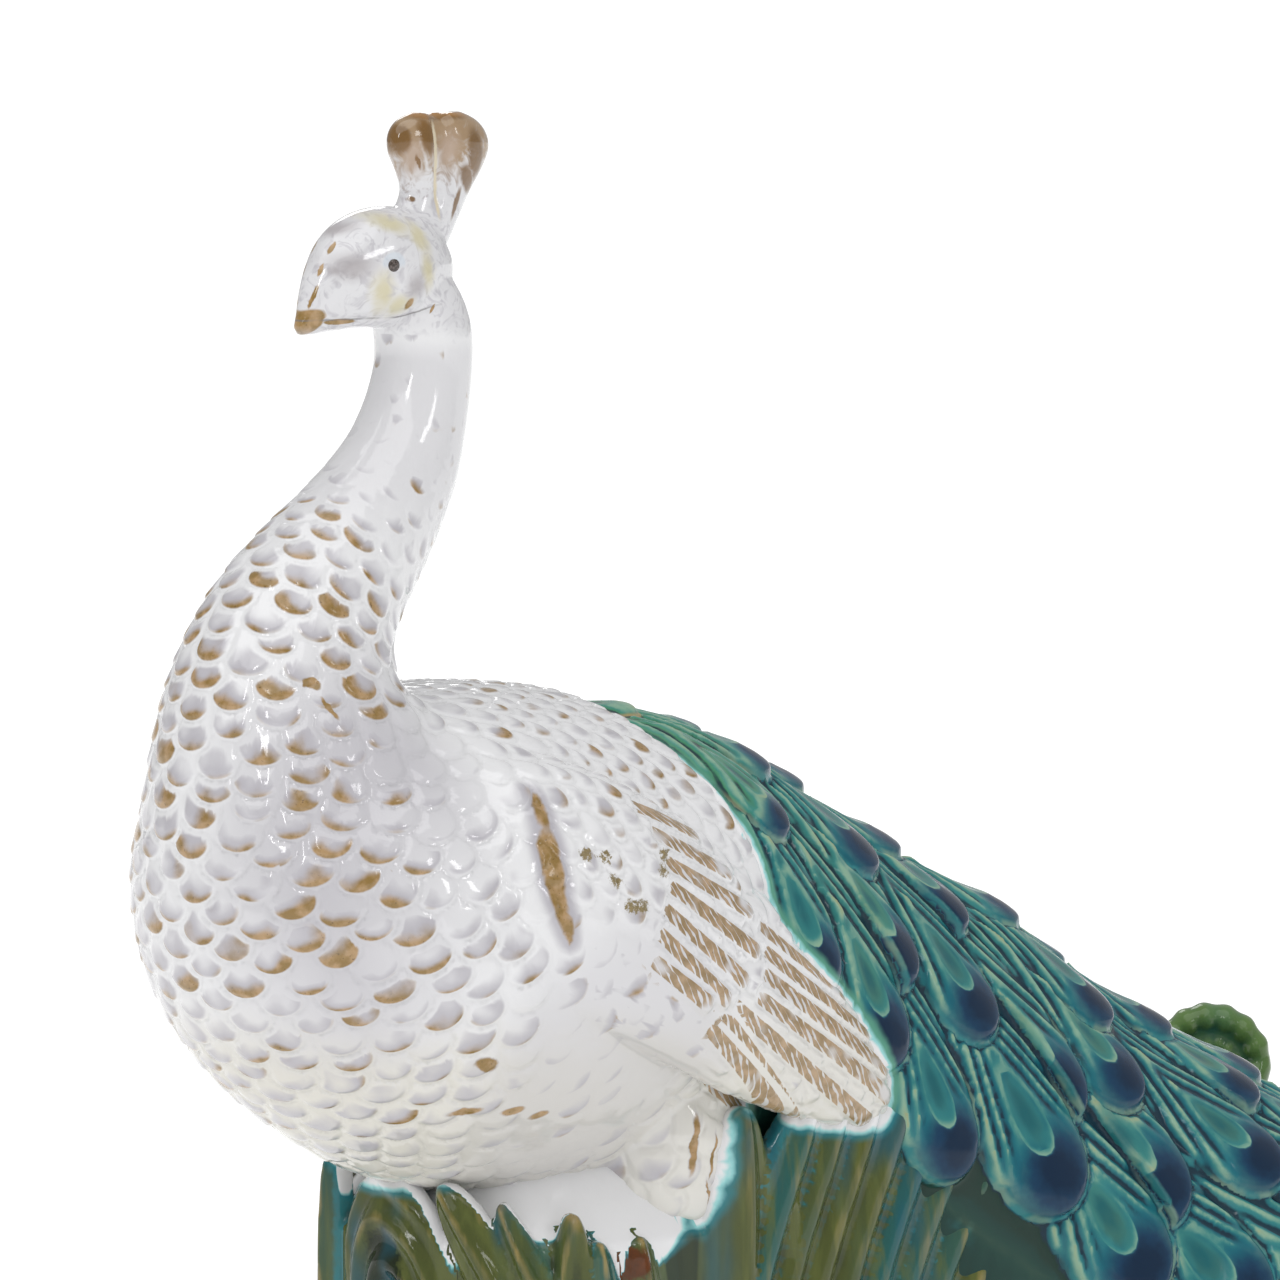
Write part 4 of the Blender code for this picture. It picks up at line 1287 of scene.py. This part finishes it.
class PeacockColours(bpy.types.PropertyGroup):
    """Colours of the glazes and of the clay"""

    white: colour("White glaze", "Thick glaze in grooves", (0.765, 0.765, 0.775))
    # Also used as painted shade on the flank below the wing
    veil_and_shade: colour("Thin glaze", "Lavender grey over raised clay", (0.45, 0.435, 0.47))
    # Cream over the lower belly, also used as painted shade under faces that point down
    belly_cream_and_shade: colour("Cream glaze", "The lower belly", (0.68, 0.66, 0.60))
    bare_light: colour("Light clay", "Where the glaze is nearly gone", (0.42, 0.27, 0.13))
    bare_dark: colour("Dark clay", "Where the glaze is gone", (0.25, 0.15, 0.035))
    line: colour("Outline", "Dark fine lines of the face", (0.16, 0.15, 0.15))
    teal: colour("Teal", "The train's ground colour", (0.012, 0.125, 0.14))
    navy: colour("Navy", "The train feathers' dark tips", (0.008, 0.035, 0.085))
    green: colour("Green", "The train feathers' eyes and the first feathers", (0.06, 0.24, 0.13))
    pale: colour("Pale ridge", "Where the teal glaze breaks over ridges", (0.26, 0.42, 0.30))
    ochre: colour("Ochre", "Where glaze is thin on the train and leaves", (0.42, 0.29, 0.10))
    olive: colour("Olive", "The leaves' ground colour", (0.07, 0.085, 0.02))
    # Pooled glaze and painted shade in the leaves' hollows and between the leaves
    pooled_glaze_and_shade: colour("Hollow", "Dark pooled glaze in the leaves' hollows", (0.008, 0.02, 0.012))
    turquoise: colour("Turquoise", "Where white glaze meets teal", (0.30, 0.62, 0.62))


def train_glaze(colours):
    s = Shader("teal_glaze")
    edge, down, across = s.field("edge"), s.field("down"), s.field("across")
    tone, eye, cavity, wet = s.field("tone"), s.field("eye"), s.field("cavity"), s.field("fringe")
    first = s.field("first")
    small, middle, broad = s.noise(3.0, 3), s.noise(12, 3), s.noise(60, 2)
    along = {0: across * 0.006, 1: down * 0.0004, 2: tone * 0.3}
    streak = s.noise(2.6, 3, place=s.node("ShaderNodeCombineXYZ", sockets=along))
    base = s.mix(colours.teal, (0.03, 0.17, 0.155), s.smooth(0.3, 0.7, broad * 0.6 + tone * 0.4))
    base = s.mix(base, (0.010, 0.11, 0.155), s.smooth(180, 110, s.z + (middle - 0.5) * 40) * 0.7)
    base = s.mix(base, (0.05, 0.26, 0.27), s.smooth(0.52, 0.72, s.noise(30, 2)) * 0.5)
    base = s.mix(base, colours.green, first)
    base = s.mix(base, (0.05, 0.24, 0.22), s.smooth(-0.05, 0.30, cavity + (streak - 0.5) * 0.25) * 0.75)
    base = s.mix(base, colours.pale, s.smooth(0.16, 0.55, cavity + (streak - 0.5) * 0.5) * 0.85)
    base = s.mix(base, (0.36, 0.34, 0.16), s.smooth(0.4, 0.9, cavity + (middle - 0.5) * 0.8) * 0.6)
    # Painted shade: the grooves and recesses darken almost to black, where glaze also pools.
    base = s.mix(base, (0.010, 0.022, 0.04), s.smooth(0.0, -0.28, cavity + (streak - 0.5) * 0.3) * 0.9)
    base = s.mix(base, colours.ochre, s.field("gilt") * s.smooth(0.3, 0.6, middle + cavity * 0.3) * 0.85)
    # Painted shade: the bare wall below the feathers darkens, as a hollow under them.
    base = s.mix(base, (0.010, 0.035, 0.022), s.field("wall") * s.smooth(0.2, 0.6, middle + 0.2) * 0.9)
    spot = s.length((down - 10) / 13.0, across * 1.02)
    spot = spot + (small - 0.5) * 0.16 + s.smooth(-0.05, 0.12, eye) * 2.0 + first
    base = s.mix(base, (0.012, 0.13, 0.17), s.smooth(1.15, 0.8, spot) * 0.85)
    base = s.mix(base, colours.navy, s.smooth(0.95, 0.5, spot) * 0.95)
    base = s.mix(base, (0.005, 0.016, 0.04), s.smooth(0.62, 0.25, spot + (middle - 0.5) * 0.5) * 0.8)
    inner = s.mix((0.03, 0.19, 0.19), (0.085, 0.24, 0.15), tone)
    base = s.mix(base, inner, s.smooth(0.0, 0.35, eye + (middle - 0.5) * 0.25) * (1 - first) * 0.6)
    base = s.mix(base, (0.008, 0.10, 0.12), s.smooth(0.35, 0.9, eye + (streak - 0.5) * 0.5) * 0.8)
    rim = s.smooth(0.12, 0.0, s.absolute(eye - 0.03))
    base = s.mix(base, (0.12, 0.32, 0.24), rim * s.smooth(0.4, 0.7, middle) * s.smooth(10, 30, down) * 0.7)
    lip = s.smooth(2.2, 1.0, edge) * s.smooth(0.1, 0.6, edge) * s.smooth(30, 12, down)
    base = s.mix(base, s.mix((0.05, 0.28, 0.28), colours.pale, s.smooth(0.45, 0.6, middle)), lip * 0.55)
    base = s.mix(base, colours.ochre, lip * first * 0.8)
    base = s.mix(base, (0.10, 0.30, 0.22), s.smooth(4.5, 2.0, wet + (middle - 0.5) * 3))
    base = s.mix(base, colours.turquoise, s.smooth(2.2, 1.2, wet + (middle - 0.5) * 0.8))
    base = s.mix(base, colours.white, s.smooth(1.3, 0.8, wet + (middle - 0.5) * 0.4))
    return s.glaze(base, 0.10 + small * 0.08, middle * 0.5 + streak * 0.3, coat=0.04, shine=0.2)


def leaf_glaze(colours):
    s = Shader("olive_glaze")
    cavity, wet, height = s.field("cavity"), s.field("fringe"), s.field("height")
    small, middle, broad = s.noise(3.0, 3), s.noise(9, 3), s.noise(35, 2)
    streak = s.noise(5.0, 3, place=s.stretched(1, 1, 0.12), warp=0.4)
    across, along, tone, nested = s.field("across"), s.field("along"), s.field("tone"), s.field("nested")
    away = s.absolute(across)
    base = s.mix(colours.olive, (0.018, 0.10, 0.09), s.smooth(0.45, 0.75, broad * 0.5 + tone * 0.5))
    base = s.mix(base, (0.12, 0.14, 0.035), s.smooth(0.45, 0.7, streak + away * 0.1) * 0.6)
    rim = s.smooth(0.55, 0.95, away + (small - 0.5) * 0.4) * s.smooth(0.3, 0.8, tone)
    base = s.mix(base, (0.02, 0.20, 0.24), rim * 0.8)
    base = s.mix(base, colours.ochre, s.smooth(0.25, 0.9, cavity + (streak - 0.5) * 0.8) * 0.75)
    # Painted shade in the leaves' hollows, over glaze that pools darker there.
    base = s.mix(base, colours.pooled_glaze_and_shade, s.smooth(-0.05, -0.9, cavity + (middle - 0.5) * 0.5) * 0.9)
    # Painted shade: the recessed heart of a leaf with nested ridges turns nearly black.
    heart_shade = s.smooth(0.35, 0.12, away + (small - 0.5) * 0.2) * s.smooth(0.9, 0.7, along) * nested
    base = s.mix(base, (0.012, 0.02, 0.006), heart_shade)
    blue = s.noise(16, 2, place=s.stretched(1, 1, 0.2))
    base = s.mix(base, (0.008, 0.09, 0.13), s.smooth(0.52, 0.7, blue) * 0.7)
    rust = s.smooth(7, 4, s.length(s.x - RUST[0], s.z - RUST[1]) + (small - 0.5) * 6)
    rusty = s.mix((0.16, 0.045, 0.008), (0.05, 0.02, 0.008), small)
    base = s.mix(base, rusty, rust * s.smooth(0, -10, s.y))
    # Painted shade: a fern frond's grooves turn dark green.
    groove = s.smooth(0.2, -0.4, cavity + (middle - 0.5) * 0.5)
    frond = s.mix((0.11, 0.21, 0.06), (0.025, 0.10, 0.06), groove)
    base = s.mix(base, frond, s.field("fern") * 0.8)
    apart = s.field("apart")
    # Painted shade between the leaves, where a point lies off every leaf.
    base = s.mix(base, colours.pooled_glaze_and_shade, s.smooth(2.5, 4.0, apart) * 0.8)
    front = s.smooth(14, -10, s.x)
    side = s.smooth(0.86, 1.0, away + (middle - 0.5) * 0.10) * (6 + s.smooth(0.40, 0.60, broad) * 24)
    gap = s.smooth(2.1, 3.1, apart + (middle - 0.5) * 1.2)
    gap = gap * (34 - s.smooth(90, 62, s.z + (broad - 0.5) * 40) * 30)
    over = wet * 1.4 - side.most(gap) * front + (middle - 0.5) * 3
    base = s.mix(base, (0.02, 0.20, 0.24), s.smooth(8.0, 4.0, over) * 0.8)
    base = s.mix(base, colours.turquoise, s.smooth(4.8, 3.0, over))
    base = s.mix(base, colours.white, s.smooth(3.4, 1.8, over))
    clay = s.smooth(1.2, 0.4, height)
    base = s.mix(base, (0.33, 0.20, 0.11), clay)
    rough = 0.06 + small * 0.06 + clay * 0.5
    return s.glaze(base, rough, middle * 0.5 + streak * 0.4, coat=0.15, shine=0.25)


def eye_glaze():
    s = Shader("dark_eye_glaze")
    small = s.noise(0.8, 2)
    base = s.mix((0.03, 0.02, 0.015), (0.13, 0.10, 0.09), s.smooth(0.4, 0.7, small))
    return s.glaze(base, 0.06, small)


def stage_paint():
    s = Shader("matt_white_paper")
    grain = s.noise(60, 3)
    base = s.mix((0.93, 0.93, 0.93), (0.96, 0.96, 0.96), grain)
    return s.glaze(base, 0.9, grain, 0.0001, 0.0, glow=0.3)


def cavity_of(mesh, points, normals, rounds):
    """How far each point stands out of the smooth shape around it, in millimetres."""
    soft = relaxed(mesh, points.copy(), rounds)
    return ((points - soft) * normals).sum(-1)


def distance_to(points, other):
    """Distance from points to another piece's clay, in millimetres, no more than FRINGE_REACH."""
    tree = tree_of(other)
    return np.minimum([tree.find(p)[2] for p in points], FRINGE_REACH)


BUILT = {}


# Swellings and hollows of the face in its side view: x, z, reach, how far out
FACE_FORM = [
    (-61.5, 377.5, 4.0, 0.8), (-62.9, 372.8, 3.2, -0.9), (-53.0, 366.0, 7.0, 1.3),
    (-72.0, 367.5, 5.0, -0.8), (-74.5, 374.0, 4.0, 0.6), (-66.0, 362.0, 4.0, 0.5),
]


def face_relief(points):
    x, y, z = points.T
    relief = 0
    for at, up, reach, out in FACE_FORM:
        relief = relief + out * np.exp(-((x - at) ** 2 + (z - up) ** 2) / reach**2)
    gape = z - GAPE_Z - GAPE_RISE * smooth(-58, -43, x)
    relief -= 0.55 * np.exp(-((gape / 0.7) ** 2)) * smooth(-43, -46, x)
    fold = np.abs(x - CREST_FOLD_X)
    crest = 1.3 * np.exp(-((fold / 1.6) ** 2)) * smooth(384, 392, z) * smooth(417, 412, z)
    return relief * smooth(350, 355, z) * smooth(2, 5, np.abs(y)) - crest


def train_front(points):
    """x where the train's first feathers begin on the back."""
    return 3 + 24 * (np.minimum(np.abs(points[:, 1]), 60) / 45) ** 1.3


class PEACOCK_OT_bird(bpy.types.Operator):
    """Body, neck, head, crest, wings and thighs with their scales"""

    bl_idname = "peacock.bird"
    bl_label = "Bird"

    def execute(self, context):
        sizes, colours = context.scene.peacock_sizes, context.scene.peacock_colours
        bird = bird_clay(sizes.skin_cell * 1000)
        mesh = bird.data
        points = points_of(mesh)
        soft = 0.5 * (0.15 + 0.85 * smooth(352, 335, points[:, 2]))
        points = relaxed(mesh, points, 12, soft)
        root = np.hypot(points[:, 0] + 70, (points[:, 2] - 246) * 1.2)
        points = relaxed(mesh, points, 60, 0.5 * smooth(50, 20, root) * smooth(300, 270, points[:, 2]))
        move(mesh, points)
        normals = normals_of(mesh)
        rng = np.random.default_rng(7)
        shingles = bird_shingles(points, normals, rng) + wing_shingles(points, normals, rng)
        fields = shingled(points, normals, shingles)
        covered = smooth(1, 9, points[:, 0] - train_front(points)) * smooth(72, 62, np.abs(points[:, 1]))
        edge_height = np.interp(points[:, 0], *zip(*[(row[3], row[5]) for row in TRAIN[:5]]))
        covered *= smooth(2, 10, points[:, 2] - edge_height)
        sunk = 7 * covered - face_relief(points)
        move(mesh, points + normals * (fields["height"] * (1 - covered) - sunk)[:, None])
        mesh, points, normals = thinned(bird)
        fields = shingled(points, normals, shingles)
        del fields["height"]
        fields["cavity"] = cavity_of(mesh, points, normals, 14)
        fields.update(bird_marks(points))
        keep_fields(mesh, fields)
        BUILT["bird"] = points
        finished(bird, bird_glaze(colours), "bird")
        return {"FINISHED"}


class PEACOCK_OT_eyes(bpy.types.Operator):
    """The two dark eyes"""

    bl_idname = "peacock.eyes"
    bl_label = "Eyes"

    def execute(self, context):
        sizes = context.scene.peacock_sizes
        half = sizes.eye_width * 500
        clay = Clay()
        tree = tree_of(BUILT["bird"])
        for side in (-1, 1):
            spot, _, _ = tree.find((EYE[0], side * 12.5, EYE[1]))
            middle = np.array(spot) - np.array([0, side * half * 0.72, 0])
            polar = np.arange(1, 16) * math.pi / 16
            a = turn(24)
            rings = []
            for p in polar:
                level, up = math.sin(p) * np.cos(a), math.sin(p) * np.sin(a)
                rings.append(middle + half * xyz(level, math.cos(p), up))
            clay.loft(rings)
        mesh = bpy.data.meshes.new("eyes")
        mesh.from_pydata(np.vstack(clay.points).tolist(), [], clay.faces)
        made = bpy.data.objects.new("eyes", mesh)
        context.scene.collection.objects.link(made)
        finished(made, eye_glaze(), "eyes")
        return {"FINISHED"}


class PEACOCK_OT_train(bpy.types.Operator):
    """The train with its eyed feathers"""

    bl_idname = "peacock.train"
    bl_label = "Train"

    def execute(self, context):
        sizes, colours = context.scene.peacock_sizes, context.scene.peacock_colours
        train = train_clay(sizes.train_cell * 1000)
        mesh = train.data
        points = relaxed(mesh, points_of(mesh), 6)
        move(mesh, points)
        normals = normals_of(mesh)
        fields = train_carving(points, normals, sizes)
        ahead = smooth(2, -6, points[:, 0] - train_front(points))
        move(mesh, points + normals * (fields["height"] * (1 - ahead) - 4 * ahead)[:, None])
        train = remeshed(train, sizes.train_cell * 1000)
        set_down(train.data, 3)
        mesh, points, normals = thinned(train)
        fields = train_carving(points, normals, sizes)
        del fields["height"]
        fields["cavity"] = cavity_of(mesh, points, normals, 16)
        fields["fringe"] = distance_to(points, BUILT["bird"])
        fields["first"] = smooth(75, 40, points[:, 0]) * smooth(200, 215, points[:, 2])
        x, y, _ = points.T
        gilt = smooth(130, 150, x) * smooth(262, 236, x)
        fields["gilt"] = gilt * smooth(6, 16, y) * smooth(45, 32, y)
        keep_fields(mesh, fields)
        finished(train, train_glaze(colours), "train")
        return {"FINISHED"}


class PEACOCK_OT_leaves(bpy.types.Operator):
    """The bank of leaves that the bird stands on"""

    bl_idname = "peacock.leaves"
    bl_label = "Leaves"

    def execute(self, context):
        sizes, colours = context.scene.peacock_sizes, context.scene.peacock_colours
        leaves = all_leaves()
        made = bank_clay(sizes.train_cell * 1000, leaves)
        set_down(made.data, 2)
        mesh, points, normals = thinned(made)
        fields = {"cavity": cavity_of(mesh, points, normals, 16), "height": points[:, 2]}
        fields["fringe"] = distance_to(points, BUILT["bird"])
        fields.update(leaf_fields(points, leaves))
        keep_fields(mesh, fields)
        finished(made, leaf_glaze(colours), "leaves")
        return {"FINISHED"}


class PEACOCK_OT_scrolls(bpy.types.Operator):
    """The rolled fern fronds"""

    bl_idname = "peacock.scrolls"
    bl_label = "Fern scrolls"

    def execute(self, context):
        shader = leaf_glaze(context.scene.peacock_colours)
        for k, (foot, middle, radius, heading) in enumerate(SCROLLS):
            name = f"fern_scroll_{k + 1}"
            made = scroll_clay((*foot[:2], 0), middle, radius, heading, SCROLL_CELL, name)
            set_down(made.data, 3)
            mesh, points, normals = thinned(made, SCROLL_TRIANGLES)
            fields = {"cavity": cavity_of(mesh, points, normals, 10), "height": points[:, 2]}
            fields["fringe"] = np.full(len(points), FRINGE_REACH)
            fields["fern"] = np.ones(len(points))
            keep_fields(mesh, fields)
            finished(made, shader, name)
        return {"FINISHED"}


class PEACOCK_OT_stage(bpy.types.Operator):
    """A plain pale floor, soft lights and the camera"""

    bl_idname = "peacock.stage"
    bl_label = "Stage"

    def execute(self, context):
        scene = context.scene
        mesh = bpy.data.meshes.new("floor")
        rings = [[(0.02 * math.cos(a), 0.02 * math.sin(a), 0) for a in turn(64)]]
        for reach in (0.6, 4.0, 80.0):
            rings.append([(reach * math.cos(a), reach * math.sin(a), 0) for a in turn(64)])
        faces = [list(range(64))]
        for r in range(3):
            for k in range(64):
                n = (k + 1) % 64
                faces.append([r * 64 + k, (r + 1) * 64 + k, (r + 1) * 64 + n, r * 64 + n])
        mesh.from_pydata([p for ring in rings for p in ring], [], faces)
        mesh.materials.append(stage_paint())
        floor = bpy.data.objects.new("floor", mesh)
        scene.collection.objects.link(floor)

        world = bpy.data.worlds.new("studio")
        world.use_nodes = True
        world.node_tree.nodes["Background"].inputs["Color"].default_value = (1, 1, 1, 1)
        world.node_tree.nodes["Background"].inputs["Strength"].default_value = ROOM_LIGHT
        scene.world = world
        scene.view_settings.view_transform = "Standard"
        for name, place, size, power in LIGHTS:
            lamp = bpy.data.lights.new(name, "AREA" if size else "SUN")
            lamp.energy = power
            if size:
                lamp.shape, lamp.size, lamp.size_y = "RECTANGLE", *size
            else:
                lamp.angle = SUN_SOFTNESS
            light = bpy.data.objects.new(name, lamp)
            light.location = place
            aim = Vector(LIT_POINT) - Vector(place)
            light.rotation_euler = aim.to_track_quat("-Z", "Y").to_euler()
            scene.collection.objects.link(light)

        lens = bpy.data.cameras.new("camera")
        lens.lens, lens.sensor_width = scene.peacock_sizes.camera_lens, 36
        lens.sensor_fit = "HORIZONTAL"
        lens.clip_start, lens.clip_end = 0.05, 200
        camera = bpy.data.objects.new("camera", lens)
        eye, target = placed(CAMERA_AT), placed(CAMERA_TO)
        camera.location = eye
        camera.rotation_euler = Vector(target - eye).to_track_quat("-Z", "Y").to_euler()
        scene.collection.objects.link(camera)
        scene.camera = camera
        return {"FINISHED"}


# The camera and the point that it looks at, in the drawing
CAMERA_AT = np.array([-1380.966, -1431.966, 467.057])
CAMERA_TO = np.array([25.5, -25.5, 258.0])
# The studio: where the lamps point, the room's light and the overhead light's softness
LIT_POINT = (-0.1, 0.0, 0.2)
ROOM_LIGHT = 0.48
SUN_SOFTNESS = math.radians(70)
# Lamps: name, place, size or None for the far overhead light, strength
LIGHTS = [
    ("overhead", (-0.9, -0.5, 2.6), None, 1.35),
    ("key", (-2.1, -1.1, 1.5), (0.2, 0.7), 5.0),
    ("window", (0.1, -2.4, 1.3), (0.3, 0.6), 3.5),
    ("back", (1.2, 1.9, 1.5), (0.8, 0.8), 5),
]
# The eye's middle in the side view
EYE = (-61.9, 373.0)


class PEACOCK_PT_panel(bpy.types.Panel):
    """The steps that build the figurine"""

    bl_label = "Peacock figurine"
    bl_idname = "PEACOCK_PT_panel"
    bl_space_type = "VIEW_3D"
    bl_region_type = "UI"
    bl_category = "Peacock"

    def draw(self, context):
        for step in STEPS:
            self.layout.operator(step.bl_idname)
        for group in (context.scene.peacock_sizes, context.scene.peacock_colours):
            for name in group.__annotations__:
                self.layout.prop(group, name)


STEPS = [
    PEACOCK_OT_bird,
    PEACOCK_OT_eyes,
    PEACOCK_OT_train,
    PEACOCK_OT_leaves,
    PEACOCK_OT_scrolls,
    PEACOCK_OT_stage,
]
CLASSES = [PeacockSizes, PeacockColours, *STEPS, PEACOCK_PT_panel]


def register():
    for each in CLASSES:
        bpy.utils.register_class(each)
    bpy.types.Scene.peacock_sizes = PointerProperty(type=PeacockSizes)
    bpy.types.Scene.peacock_colours = PointerProperty(type=PeacockColours)


def unregister():
    del bpy.types.Scene.peacock_colours, bpy.types.Scene.peacock_sizes
    for each in reversed(CLASSES):
        bpy.utils.unregister_class(each)


def main():
    register()
    for step in STEPS:
        group, name = step.bl_idname.split(".")
        getattr(getattr(bpy.ops, group), name)()


if __name__ == "__main__":
    main()
